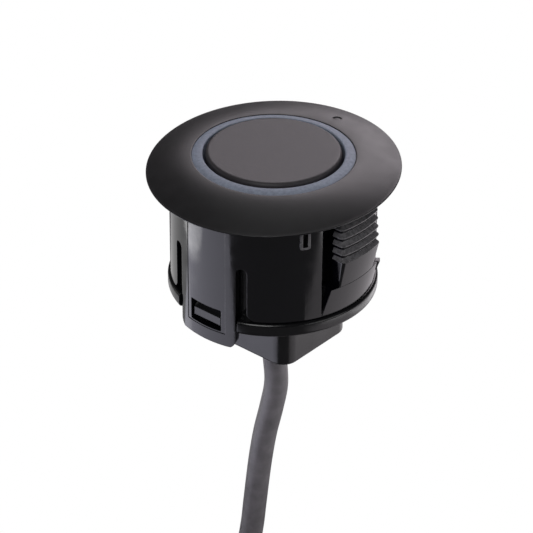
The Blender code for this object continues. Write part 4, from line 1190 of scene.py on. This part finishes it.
@dataclass
class Housing:
    """Barrel, bead, latch wedges and rear block, one moulding."""

    barrel_radius: float = 10.85 * MM
    barrel_edge: float = 0.15 * MM
    bore: float = 9.85 * MM
    top: float = 1.25 * MM
    floor: float = 13.9 * MM
    bead_top: float = 13.92 * MM
    bead_height: float = 1.78 * MM
    bead_radius: float = 12.60 * MM
    bead_round: float = 0.45 * MM
    bead_gap_angle: float = math.radians(21.2)
    bead_gap_margin: float = 0.3 * MM
    bead_gap_reach: float = 1.0 * MM
    bead_gap_bite: float = 0.05 * MM
    wedge_half_width: float = 2.05 * MM
    wedge_face: float = 11.8 * MM
    wedge_top: float = 13.6 * MM
    wedge_catch: float = 15.6 * MM
    wedge_land: float = 1.1 * MM
    wedge_lead_in: float = 0.3 * MM
    wedge_root: float = 0.5 * MM
    wedge_ease: float = 0.06 * MM
    wedge_tip: float = 0.05 * MM
    wedge_undercut: float = 0.1 * MM
    gusset_bottom: float = 17.3 * MM
    gusset_rise: float = 0.9 * MM
    gusset_root: float = 0.4 * MM
    block_half_x: float = 7.15 * MM
    block_half_y: float = 6.05 * MM
    block_corner: float = 2.0 * MM
    block_wall: float = 1.0 * MM
    block_bottom: float = 22.38 * MM
    block_edge: float = 0.25 * MM
    block_overlap: float = 0.4 * MM
    pocket_gap: float = 0.5 * MM
    pocket_reach: float = 1.0 * MM
    sleeve_radius: float = 12.3 * MM

    def build(self) -> bpy.types.Object:
        """Build the moulding.

        Returns:
            The finished moulding.
        """
        item = self._barrel()
        bead_bottom = -self.bead_top - self.bead_height
        half = self.bead_gap_angle * self.sleeve_radius
        lower = bead_bottom - self.bead_gap_margin
        upper = -self.bead_top + self.bead_gap_margin
        outline = [(-half, lower), (half, lower), (half, upper), (-half, upper)]
        inner = self.barrel_radius - self.bead_gap_bite
        outer = self.bead_radius + self.bead_gap_reach
        gaps = []
        for side in Side:
            gaps.append(Mesher.wrapped("bead gap", outline, inner, outer, side.value, self.sleeve_radius))
        Mesher.combine(item, "DIFFERENCE", gaps)
        block = Mesher.box(
            "block",
            (-self.block_half_x, -self.block_half_y, -self.block_bottom),
            (self.block_half_x, self.block_half_y, bead_bottom + self.block_overlap),
            self.block_corner,
            self.block_edge,
            10,
        )
        Mesher.combine(item, "UNION", [block, self._wedge(Side.NEAR), self._wedge(Side.FAR)])
        x = self.block_half_x - self.block_wall
        y = self.block_half_y - self.block_wall
        pocket = Mesher.box(
            "pocket",
            (-x, -y, -self.block_bottom - self.pocket_reach),
            (x, y, -self.floor + self.pocket_gap),
            self.block_corner - self.block_wall,
        )
        Mesher.combine(item, "DIFFERENCE", [pocket])
        return Mesher.polish(item)

    def _barrel(self) -> bpy.types.Object:
        """Turn the barrel, its floor and the bead round its foot.

        Returns:
            The barrel.
        """
        edge = self.barrel_edge
        soft = self.bead_round
        floor = -self.bead_top - self.bead_height
        outer = [(self.barrel_radius - edge, -self.top), (self.barrel_radius, -self.top - edge)]
        outer += [(self.barrel_radius, -self.bead_top)]
        outer += Mesher.arc((self.bead_radius - soft, -self.bead_top - soft), soft, 90, 0, 8)
        outer += Mesher.arc((self.bead_radius - soft, floor + soft), soft, 0, -90, 8)
        profile = [(0.0, -self.floor), (self.bore, -self.floor), (self.bore, -self.top)]
        profile += outer + [(0.0, floor)]
        return Mesher.turned("sensor_body", profile, 192)

    def _wedge(self, side: Side) -> bpy.types.Object:
        """Return one latch wedge with the gusset behind it.

        Args:
            side: Side of the arm that the wedge catches.

        Returns:
            The wedge.
        """
        barrel = self.barrel_radius
        face = self.wedge_face
        catch = -self.wedge_catch
        land = catch + self.wedge_land
        ease, tip, undercut, root = self.wedge_ease, self.wedge_tip, self.wedge_undercut, self.wedge_root
        floor = -self.bead_top - self.bead_height + root
        block = -self.block_half_y + self.gusset_root
        outline = [
            (-barrel + root, -self.wedge_top + self.wedge_lead_in),
            (-barrel, -self.wedge_top),
            (-face + ease, land + ease),
            (-face, land - ease / 2),
            (-face, catch + tip),
            (-face + tip, catch),
            (-barrel + undercut, catch - undercut),
            (-barrel + root, -self.gusset_bottom),
            (block, -self.gusset_bottom + self.gusset_rise),
            (block, floor),
            (-barrel + root, floor),
        ]
        wedge = Mesher.prism("wedge", outline, self.wedge_half_width)
        return Mesher.transformed(wedge, Matrix.Rotation(side.value, 4, "Z"))

    def dress(self, item: bpy.types.Object) -> None:
        """Give the moulding its gloss."""
        mount(item, HOUSING_BLACK, ["sensor_housing"])


@dataclass
class Electronics:
    """Board, its components and the wires, kept from the CAD model."""

    finishes: dict[str, Finish] = field(
        default_factory=lambda: {
            "circuit_board": BOARD_MASK,
            "transformer_core": FERRITE,
            "transformer_winding": COPPER,
            "control_chip": CHIP,
            "ceramic_capacitor_1": TAN,
            "ceramic_capacitor_2": TAN,
            "resistor_1": CHIP,
            "resistor_2": CHIP,
            "resistor_3": CHIP,
            "electrolytic_capacitor": CAN,
            "terminal_pin_1": TIN,
            "terminal_pin_2": TIN,
            "terminal_pin_3": TIN,
            "core_wire_1": RED,
            "core_wire_2": WHITE,
            "core_wire_3": DARK,
            "rear_potting": POTTING,
            "cable_grommet": RUBBER,
        }
    )

    def dress(self) -> None:
        """Finish each carried-over piece."""
        for name, finish in self.finishes.items():
            dress_node(name, finish)


@dataclass
class Lead:
    """Round lead from the grommet, through its tied coil, to the plug."""

    diameter: float = 3.02 * MM
    centre: Point2 = (4.55 * MM, -26.50 * MM)
    outer: float = 22.6 * MM
    inner: float = 11.4 * MM
    layers: int = 6
    layer_pitch: float = 3.03 * MM
    top_turn: float = -66.5 * MM
    change_turns: float = 0.25
    first_angle: float = math.radians(139.0)
    last_angle: float = math.radians(310.4)
    full_turns: int = 23
    points_per_turn: int = 32
    heading: float = math.radians(40.4)
    plug_axis_height: float = 4.2 * MM
    tail_end: float = 26.7 * MM
    tail_rise_start: float = 8.0 * MM
    tail_rise_length: float = 12.0 * MM
    floor_gap: float = 1.4 * MM
    free_spacing: float = 0.8 * MM
    route: tuple[Point3, ...] = (
        (0.00000, 0.00000, -0.0203),
        (0.00000, 0.00000, -0.0225),
        (0.00020, 0.00018, -0.0260),
        (0.00042, 0.00035, -0.0304),
        (0.00000, 0.00000, -0.0341),
        (-0.00057, -0.00048, -0.0378),
        (-0.00097, -0.00083, -0.0415),
        (-0.00127, -0.00108, -0.0452),
        (-0.00154, -0.00131, -0.0490),
        (-0.00182, -0.00155, -0.0529),
        (-0.00235, -0.00200, -0.0567),
        (-0.00370, -0.00315, -0.0606),
        (-0.00575, -0.00490, -0.0634),
        (-0.00840, -0.00745, -0.0655),
        (-0.01080, -0.01000, -0.0664),
    )

    @property
    def floor(self) -> float:
        """Height that the tie and the plug rest on."""
        return self.top_turn - (self.layers - 1) * self.layer_pitch - self.diameter / 2 - self.floor_gap

    def _coil_points(self) -> list[Vector]:
        """Return points of the coil: each layer winds in or out, then steps down.

        Returns:
            The points, from the lead's first turn to its last.
        """
        swept = self.last_angle - self.first_angle + 2 * math.pi * self.full_turns
        changes = self.layers - 1
        layer_turns = (swept / (2 * math.pi) - changes * self.change_turns) / self.layers
        points = []
        angle = self.first_angle
        height = self.top_turn
        for layer in range(self.layers):
            start, end = (self.outer, self.inner) if layer % 2 == 0 else (self.inner, self.outer)
            count = round(layer_turns * self.points_per_turn)
            for i in range(count):
                share = i / count
                turn = angle + 2 * math.pi * layer_turns * share
                points.append(self.on_coil(turn, start + (end - start) * share, height))
            angle += 2 * math.pi * layer_turns
            if layer == self.layers - 1:
                points.append(self.on_coil(angle, end, height))
                break
            count = round(self.change_turns * self.points_per_turn)
            for i in range(count):
                share = i / count
                drop = self.layer_pitch * (3 * share ** 2 - 2 * share ** 3)
                turn = angle + 2 * math.pi * self.change_turns * share
                points.append(self.on_coil(turn, end, height - drop))
            angle += 2 * math.pi * self.change_turns
            height -= self.layer_pitch
        return points

    def on_coil(self, angle: float, radius: float, height: float) -> Vector:
        """Return a point at an angle and radius about the coil's centre."""
        x, y = self.centre
        return Vector((x + radius * math.cos(angle), y + radius * math.sin(angle), height))

    def _tail_points(self) -> list[Vector]:
        """Return points from the coil's last turn into the plug.

        Returns:
            The points, from the coil to the plug.
        """
        along = Vector((math.cos(self.heading), math.sin(self.heading), 0.0))
        start = self.on_coil(self.last_angle, self.outer, 0.0)
        low = self.top_turn - (self.layers - 1) * self.layer_pitch
        axis = self.floor + self.plug_axis_height
        steps = 10
        points = []
        for i in range(1, steps + 1):
            share = i / steps
            rise = (share * self.tail_end - self.tail_rise_start) / self.tail_rise_length
            rise = min(1.0, max(0.0, rise))
            height = low + (axis - low) * (3 * rise ** 2 - 2 * rise ** 3)
            points.append(start + along * self.tail_end * share + Vector((0.0, 0.0, height)))
        return points

    @staticmethod
    def smooth_route(route: Sequence[Sequence[float]], after: Vector, spacing: float) -> list[Vector]:
        """Read evenly spaced points from a smooth curve through a route.

        Args:
            route: Points that the curve passes through.
            after: The next point past the route's end, which sets its last direction.
            spacing: Distance between the points read.

        Returns:
            The points read.
        """
        knots = [2 * Vector(route[0]) - Vector(route[1])] + [Vector(p) for p in route] + [after]
        points = [knots[1]]
        for before, a, b, following in zip(knots, knots[1:], knots[2:], knots[3:]):
            count = max(1, round((b - a).length / spacing))
            for i in range(1, count + 1):
                u = i / count
                points.append(
                    0.5 * (2 * a + (b - before) * u + (2 * before - 5 * a + 4 * b - following) * u ** 2
                           + (3 * a - before - 3 * b + following) * u ** 3)
                )
        return points

    def path(self) -> list[Vector]:
        """Return the whole centreline, from inside the grommet to inside the plug.

        Returns:
            The points of the centreline.
        """
        coil = self._coil_points()
        free = self.smooth_route([*self.route, tuple(coil[0])], coil[1], self.free_spacing)
        return free + coil[1:] + self._tail_points()

    def build(self) -> bpy.types.Object:
        """Build the lead as one curve.

        Returns:
            The lead.
        """
        curve = bpy.data.curves.new("lead", "CURVE")
        curve.dimensions = "3D"
        curve.bevel_depth = self.diameter / 2
        curve.bevel_resolution = 5
        curve.resolution_u = 1
        curve.render_resolution_u = 0
        curve.use_fill_caps = True
        points = self.path()
        spline = curve.splines.new("POLY")
        spline.points.add(len(points) - 1)
        for point, place in zip(spline.points, points):
            point.co = (*place, 1.0)
        spline.use_smooth = True
        return Mesher.object("lead", curve)

    def length(self) -> float:
        """Return the length of the centreline."""
        points = self.path()
        return sum((b - a).length for a, b in zip(points, points[1:]))

    def dress(self, item: bpy.types.Object, pieces: Sequence[Union[str, bpy.types.Object]]) -> None:
        """Args:
            item: The lead.
            pieces: What rides on its end; not used.
        """
        mount(item, JACKET, ["sensor_lead", "lead_coil", "lead_tail"])
        round(self.length(), 3)


@dataclass
class Tie:
    """Nylon band with a locking head round the coil's turns."""

    lead: Lead
    width: float = 3.0 * MM
    thickness: float = 0.9 * MM
    angle: float = math.radians(205.0)
    corner: float = 1.4 * MM
    gap: float = 0.35 * MM
    edge: float = 0.22 * MM
    head_root: float = 0.5 * MM
    head_rise: float = 1.7 * MM
    head_margin: float = 0.6 * MM
    head_half_height: float = 2.3 * MM
    head_corner: float = 0.6 * MM
    head_edge: float = 0.3 * MM
    tail_low: float = 0.35 * MM
    tail_high: float = 1.15 * MM
    tail_inset: float = 0.2 * MM
    tail_length: float = 6.0 * MM
    tail_corner: float = 0.3 * MM
    tail_edge: float = 0.15 * MM

    def build(self) -> bpy.types.Object:
        """Build the band and its head.

        Returns:
            The tie.
        """
        lead = self.lead
        margin = lead.diameter / 2 + self.gap
        left, right = lead.inner - margin, lead.outer + margin
        bottom = lead.top_turn - (lead.layers - 1) * lead.layer_pitch - margin
        top = lead.top_turn + margin
        inner = self._outline(left, right, bottom, top, self.corner)
        thick = self.thickness
        outer = self._outline(left - thick, right + thick, bottom - thick, top + thick, self.corner + thick)
        bm = bmesh.new()
        half = self.width / 2
        soft = self.edge
        rings = []
        for y, share in ((-half, 0.25), (-half + soft, 0.0), (half - soft, 0.0), (half, 0.25)):
            rings.append([self._between(o, i, share, y) for o, i in zip(outer, inner)])
        for y, share in ((half, 0.75), (half - soft, 1.0), (-half + soft, 1.0), (-half, 0.75)):
            rings.append([self._between(o, i, share, y) for o, i in zip(outer, inner)])
        verts = [[bm.verts.new(p) for p in ring] for ring in rings]
        for a, b in zip(verts, verts[1:] + verts[:1]):
            for i in range(len(a)):
                j = (i + 1) % len(a)
                bm.faces.new((a[i], a[j], b[j], b[i]))
        item = Mesher.from_bmesh("coil_band", bm)
        face = right + thick
        middle = (top + bottom) / 2
        wide, tall = half + self.head_margin, self.head_half_height
        head = Mesher.box(
            "head",
            (face - self.head_root, -wide, middle - tall),
            (face + self.head_rise, wide, middle + tall),
            self.head_corner,
            self.head_edge,
        )
        slim = half - self.tail_inset
        tail = Mesher.box(
            "tail",
            (face + self.tail_low, -slim, middle),
            (face + self.tail_high, slim, middle + self.tail_length),
            self.tail_corner,
            self.tail_edge,
        )
        Mesher.combine(item, "UNION", [head, tail])
        place = Matrix.Translation((*lead.centre, 0.0)) @ Matrix.Rotation(self.angle, 4, "Z")
        return Mesher.smooth(Mesher.transformed(item, place), 40.0)

    @staticmethod
    def _outline(left: float, right: float, bottom: float, top: float, corner: float) -> list[Point2]:
        """Return a rounded rectangle's outline in (distance from the coil's centre, height).

        Args:
            left: Least distance from the centre.
            right: Greatest distance.
            bottom: Lower height.
            top: Upper height.
            corner: Radius of the corners.

        Returns:
            The outline.
        """
        points = Mesher.arc((right - corner, top - corner), corner, 90, 0, 6)
        points += Mesher.arc((right - corner, bottom + corner), corner, 0, -90, 6)
        points += Mesher.arc((left + corner, bottom + corner), corner, 270, 180, 6)
        points += Mesher.arc((left + corner, top - corner), corner, 180, 90, 6)
        return points

    @staticmethod
    def _between(outer: Point2, inner: Point2, share: float, y: float) -> Point3:
        """Return a point between the outer and inner outlines, at a width."""
        return (outer[0] + (inner[0] - outer[0]) * share, y, outer[1] + (inner[1] - outer[1]) * share)

    def dress(self, item: bpy.types.Object) -> None:
        """Finish the band."""
        mount(item, NYLON, ["coil_tie"])


@dataclass
class Plug:
    """Sealed plug on the lead's far end; its seal and terminals come from the CAD model."""

    lead: Lead
    start: float = 21.5 * MM
    length: float = 15.0 * MM
    width: float = 10.0 * MM
    height: float = 8.4 * MM
    corner: float = 1.8 * MM
    edge: float = 0.3 * MM
    nose_length: float = 6.0 * MM
    nose_width: float = 8.4 * MM
    nose_height: float = 6.2 * MM
    nose_root: float = 0.5 * MM
    latch_length: float = 10.5 * MM
    latch_width: float = 3.6 * MM
    latch_thickness: float = 0.9 * MM
    latch_lift: float = 0.7 * MM
    latch_back: float = 3.0 * MM
    latch_foot: float = 1.2 * MM
    latch_foot_end: float = 0.4 * MM
    latch_foot_slant: float = 0.2 * MM
    latch_root: float = 0.3 * MM
    latch_thumb: float = 0.3 * MM
    latch_slope: float = 0.6 * MM
    rib_count: int = 4
    rib_start: float = 2.2 * MM
    rib_pitch: float = 1.3 * MM
    rib_length: float = 0.55 * MM
    rib_low: float = 2.2 * MM
    rib_high: float = 6.2 * MM
    rib_offset: float = 0.05 * MM
    rib_left: float = 0.25 * MM
    rib_right: float = 0.15 * MM
    rib_corner: float = 0.12 * MM
    rail_start: float = 9.0 * MM
    rail_end: float = 2.0 * MM
    rail_half_width: float = 0.4 * MM
    rail_root: float = 0.3 * MM
    rail_rise: float = 1.1 * MM
    rail_corner: float = 0.25 * MM
    rail_edge: float = 0.2 * MM
    socket_count: int = 3
    socket_pitch: float = 2.4 * MM
    socket_size: float = 1.5 * MM
    socket_depth: float = 8.5 * MM
    seal_hole: float = 2.7 * MM
    seal_depth: float = 5.5 * MM
    cutter_reach: float = 1.0 * MM

    def _place(self) -> Matrix:
        """Return the matrix from the plug's own frame, cord along +X, to the model's.

        Returns:
            The matrix.
        """
        lead = self.lead
        start = lead.on_coil(lead.last_angle, lead.outer, lead.floor)
        return Matrix.Translation(start) @ Matrix.Rotation(lead.heading, 4, "Z")

    def _bar(self, name: str, low: Point3, high: Point3, corner: float, edge: float) -> bpy.types.Object:
        """Return a box with its four edges along X rounded.

        Args:
            name: Name of the object.
            low: Lowest corner.
            high: Highest corner.
            corner: Radius of the edges along X.
            edge: Radius of the end edges.

        Returns:
            The bar.
        """
        depth, width, height = (b - a for a, b in zip(low, high))
        middle = [(a + b) / 2 for a, b in zip(low, high)]
        far = (height / 2, width / 2, depth / 2)
        item = Mesher.box(name, tuple(-c for c in far), far, corner, edge, 8)
        return Mesher.transformed(item, Matrix.Translation(middle) @ Matrix.Rotation(math.pi / 2, 4, "Y"))

    def build(self) -> bpy.types.Object:
        """Build the plug's housing with its latch, grip ribs and sockets.

        Returns:
            The plug's housing.
        """
        end = self.start + self.length
        axis = self.height / 2
        half = self.width / 2
        body = self._bar(
            "plug_body", (self.start, -half, 0.0), (end, half, self.height), self.corner, self.edge
        )
        nose = self._bar(
            "nose",
            (end - self.nose_root, -self.nose_width / 2, axis - self.nose_height / 2),
            (end + self.nose_length, self.nose_width / 2, axis + self.nose_height / 2),
            self.corner / 2,
            self.edge,
        )
        extras = [nose, self._latch(end)]
        for side in (-1, 1):
            for i in range(self.rib_count):
                x = self.start + self.rib_start + i * self.rib_pitch
                y = side * (half + self.rib_offset)
                low = (x, y - self.rib_left, self.rib_low)
                high = (x + self.rib_length, y + self.rib_right, self.rib_high)
                extras.append(Mesher.box("rib", low, high, self.rib_corner))
            y = side * half / 2
            low = (end - self.rail_start, y - self.rail_half_width, self.height - self.rail_root)
            high = (end - self.rail_end, y + self.rail_half_width, self.height + self.rail_rise)
            extras.append(Mesher.box("rail", low, high, self.rail_corner, self.rail_edge))
        Mesher.combine(body, "UNION", extras)
        Mesher.combine(body, "DIFFERENCE", self._holes(end, axis))
        return Mesher.smooth(Mesher.transformed(body, self._place()), 35.0)

    def _latch(self, end: float) -> bpy.types.Object:
        """Return the sprung release lever on the plug's top.

        Args:
            end: Where the plug's body ends and its nose starts, along X.

        Returns:
            The lever.
        """
        low = self.height + self.latch_lift
        top = low + self.latch_thickness
        root = self.height - self.latch_root
        start = end - self.latch_length + self.latch_back
        outline = [
            (start, low),
            (end - self.latch_foot, low),
            (end - self.latch_foot_end, root),
            (end + self.latch_foot_slant, root),
            (end - self.latch_foot_slant, top),
            (start, top + self.latch_thumb),
            (start - self.latch_slope, top),
        ]
        lever = Mesher.prism("lever", outline, self.latch_width / 2)
        return Mesher.transformed(lever, Matrix.Rotation(-math.pi / 2, 4, "Z"))

    def _holes(self, end: float, axis: float) -> list[bpy.types.Object]:
        """Return the cutters of the terminal sockets and of the seal's bore.

        Args:
            end: Where the plug's body ends and its nose starts, along X.
            axis: Height of the sockets' axes.

        Returns:
            The cutters.
        """
        face = end + self.nose_length
        half = self.socket_size / 2
        holes = []
        for i in range(self.socket_count):
            y = (i - (self.socket_count - 1) / 2) * self.socket_pitch
            low = (face - self.socket_depth, y - half, axis - half)
            high = (face + self.cutter_reach, y + half, axis + half)
            holes.append(Mesher.box("socket", low, high))
        hole, depth, past = self.seal_hole, self.seal_depth, -self.cutter_reach
        bore = Mesher.turned("bore", [(0.0, depth), (hole, depth), (hole, past), (0.0, past)], 64)
        turn = Matrix.Translation((self.start, 0.0, axis)) @ Matrix.Rotation(math.pi / 2, 4, "Y")
        return holes + [Mesher.transformed(bore, turn)]

    def dress(self, item: bpy.types.Object) -> list[Union[str, bpy.types.Object]]:
        """Finish the plug, and return the pieces that ride on the lead's end.

        Args:
            item: The plug's housing.

        Returns:
            The housing, with the names of the carried-over pieces.
        """
        mount(item, PLUG_BLACK, ["plug_housing"])
        dress_node("plug_seal", SEAL_BLUE)
        names = ["plug_terminal_1", "plug_terminal_2", "plug_terminal_3"]
        for name in names:
            dress_node(name, BRASS)
        return [item, "plug_seal", *names]


FACING_UP = Matrix.Rotation(math.pi, 3, "X").to_quaternion()
WHITE_LIGHT = (1.0, 1.0, 1.0, 1.0)


@dataclass(frozen=True)
class SoftBox:
    """Area light placed as seen from the camera: aimed at the sensor, or lying on the floor.

    Attributes:
        name: Name of the light.
        swing: Angle in degrees round the sensor from the camera's side, right positive.
        rise: Elevation in degrees.
        distance: Distance from the sensor in metres.
        width: Width in metres.
        height: Height in metres.
        power: Power in watts.
        lift: Height over the floor in metres of one that lies there, its width across the
            direction to the sensor. Zero for one that stands.
        outline: Outline of the lit face.
        colour: Linear colour of the light.
    """

    name: str
    swing: float
    rise: float
    distance: float
    width: float
    height: float
    power: float
    lift: float = 0.0
    outline: Outline = Outline.RECTANGLE
    colour: Point3 = (1.0, 1.0, 1.0)

    def build(self, azimuth: float, target: Vector, floor: float) -> None:
        """Create the light.

        Args:
            azimuth: Direction of the camera in degrees.
            target: Point that a standing light is aimed at.
            floor: Height of the floor that a lying light is on.
        """
        data = bpy.data.lights.new(self.name, "AREA")
        data.shape = self.outline.value
        data.size = self.width
        data.size_y = self.height
        data.energy = self.power
        data.color = self.colour
        item = Mesher.object(self.name, data)
        turn = math.radians(azimuth + self.swing)
        rise = math.radians(self.rise)
        flat = math.cos(rise)
        away = Vector((math.sin(turn) * flat, -math.cos(turn) * flat, math.sin(rise)))
        item.location = target + away * self.distance
        item.rotation_mode = "QUATERNION"
        item.rotation_quaternion = away.to_track_quat("Z", "Y")
        item.visible_camera = False
        if self.lift > 0.0:
            item.location.z = floor + self.lift
            item.rotation_quaternion = Matrix.Rotation(turn, 3, "Z").to_quaternion() @ FACING_UP


@dataclass
class Studio:
    """Pale floor and backdrop, soft boxes and the photograph's camera."""

    azimuth: float = 40.41
    elevation: float = 31.94
    roll: float = 0.418
    distance: float = 308.83 * MM
    lens: float = 173.874
    shift_right: float = -0.76 * MM
    shift_up: float = -13.745 * MM
    floor_height: float = -84.6 * MM
    ambient: float = 0.05
    floor_half: float = 600 * MM
    floor_grey: float = 0.30
    lights: tuple[SoftBox, ...] = (
        SoftBox("back softbox", 160.0, 30.0, 0.55, 0.32, 0.39, 1.20, colour=(1.0, 0.92, 0.98)),
        SoftBox("back left softbox", -170.0, 37.0, 0.55, 0.16, 0.26, 0.27, colour=(1.0, 0.92, 0.98)),
        SoftBox("overhead softbox", 180.0, 74.0, 0.60, 0.40, 0.40, 0.25),
        SoftBox("front fill", -15.0, 40.0, 0.70, 0.30, 0.30, 1.20),
        SoftBox("left card", -75.0, 0.0, 0.20, 0.130, 0.26, 0.16, 1 * MM, colour=(0.98, 0.97, 1.14)),
        SoftBox("far left card", -130.0, 0.0, 0.20, 0.110, 0.26, 0.052, 2 * MM),
        SoftBox("left strip", -98.0, 0.0, 0.1335, 0.080, 0.011, 0.0072, 3 * MM, Outline.ELLIPSE),
        SoftBox("right card", 100.0, 0.0, 0.18, 0.22, 0.26, 0.112, 1 * MM, colour=(1.03, 0.97, 1.02)),
        SoftBox("front right strip", 72.0, 0.0, 0.148, 0.110, 0.026, 0.027, 3 * MM),
        SoftBox("right strip", 118.0, 0.0, 0.112, 0.120, 0.018, 0.0105, 2 * MM),
        SoftBox("right wall", 56.0, 8.0, 0.45, 0.34, 0.16, 0.27),
        SoftBox("left wall", -100.0, 8.0, 0.45, 0.40, 0.20, 0.10),
    )

    def _axes(self) -> tuple[Vector, Vector, Vector]:
        """Return the camera's right, up and backward directions, before its roll.

        Returns:
            The three directions, in that order.
        """
        a = math.radians(self.azimuth)
        e = math.radians(self.elevation)
        back = Vector((math.sin(a) * math.cos(e), -math.cos(a) * math.cos(e), math.sin(e)))
        right = Vector((math.cos(a), math.sin(a), 0.0))
        return right, back.cross(right), back

    def target(self) -> Vector:
        """Return the point that the camera looks at."""
        right, _, _ = self._axes()
        return right * self.shift_right + Vector((0.0, 0.0, self.shift_up))

    def build(self) -> None:
        """Build the backdrop, floor, lights and camera."""
        self._build_world()
        self._build_floor()
        for light in self.lights:
            light.build(self.azimuth, self.target(), self.floor_height)
        self._build_camera()
        bpy.context.scene.view_settings.view_transform = "Standard"

    def _build_world(self) -> None:
        """Make the backdrop white where it is seen and dim where it lights the sensor."""
        world = bpy.data.worlds.new("studio")
        bpy.context.scene.world = world
        world.use_nodes = True
        tree = world.node_tree
        seen = tree.nodes["Background"]
        seen.inputs["Color"].default_value = WHITE_LIGHT
        seen.inputs["Strength"].default_value = 1.0
        lit = tree.nodes.new("ShaderNodeBackground")
        lit.inputs["Color"].default_value = WHITE_LIGHT
        lit.inputs["Strength"].default_value = self.ambient
        ray = tree.nodes.new("ShaderNodeLightPath")
        mix = tree.nodes.new("ShaderNodeMixShader")
        tree.links.new(ray.outputs["Is Camera Ray"], mix.inputs["Fac"])
        tree.links.new(lit.outputs["Background"], mix.inputs[1])
        tree.links.new(seen.outputs["Background"], mix.inputs[2])
        tree.links.new(mix.outputs["Shader"], tree.nodes["World Output"].inputs["Surface"])

    def _build_floor(self) -> None:
        """Lay the floor that the coil and plug rest on, white where it is seen."""
        half, top = self.floor_half, self.floor_height
        floor = Mesher.box("floor", (-half, -half, top - 2 * MM), (half, half, top))
        material = bpy.data.materials.new("floor")
        material.use_nodes = True
        tree = material.node_tree
        shader = tree.nodes["Principled BSDF"]
        shader.inputs["Base Color"].default_value = (*[self.floor_grey] * 3, 1.0)
        shader.inputs["Roughness"].default_value = 0.9
        glow = tree.nodes.new("ShaderNodeEmission")
        glow.inputs["Color"].default_value = WHITE_LIGHT
        glow.inputs["Strength"].default_value = 1.0
        ray = tree.nodes.new("ShaderNodeLightPath")
        mix = tree.nodes.new("ShaderNodeMixShader")
        tree.links.new(ray.outputs["Is Camera Ray"], mix.inputs["Fac"])
        tree.links.new(shader.outputs["BSDF"], mix.inputs[1])
        tree.links.new(glow.outputs["Emission"], mix.inputs[2])
        tree.links.new(mix.outputs["Shader"], tree.nodes["Material Output"].inputs["Surface"])
        floor.data.materials.append(material)

    def _build_camera(self) -> None:
        """Place the camera where the photograph was taken."""
        right, up, back = self._axes()
        roll = math.radians(self.roll)
        rolled_right = right * math.cos(roll) + up * math.sin(roll)
        rolled_up = up * math.cos(roll) - right * math.sin(roll)
        data = bpy.data.cameras.new("camera")
        data.lens = self.lens
        data.sensor_width = 36.0
        data.clip_start = 0.01
        data.clip_end = 10.0
        camera = Mesher.object("camera", data)
        turn = Matrix((rolled_right, rolled_up, back)).transposed().to_4x4()
        camera.matrix_world = Matrix.Translation(self.target() + back * self.distance) @ turn
        bpy.context.scene.camera = camera


def main() -> None:
    """Build and dress each sub-assembly in order, then the studio."""
    logging.basicConfig(level=logging.INFO, format="%(name)s: %(message)s")
    studio = Studio()
    studio.build()
    lead = Lead()
    lead_curve = lead.build()
    plug = Plug(lead)
    on_lead = plug.dress(plug.build())
    tie = Tie(lead)
    band = tie.build()
    tie.dress(band)
    lead.dress(lead_curve, [*on_lead, band])
    bezel = Bezel()
    bezel.dress(bezel.build())
    transducer = Transducer()
    transducer.dress(transducer.build())
    housing = Housing()
    housing.dress(housing.build())
    Electronics().dress()


if __name__ == "__main__":
    main()
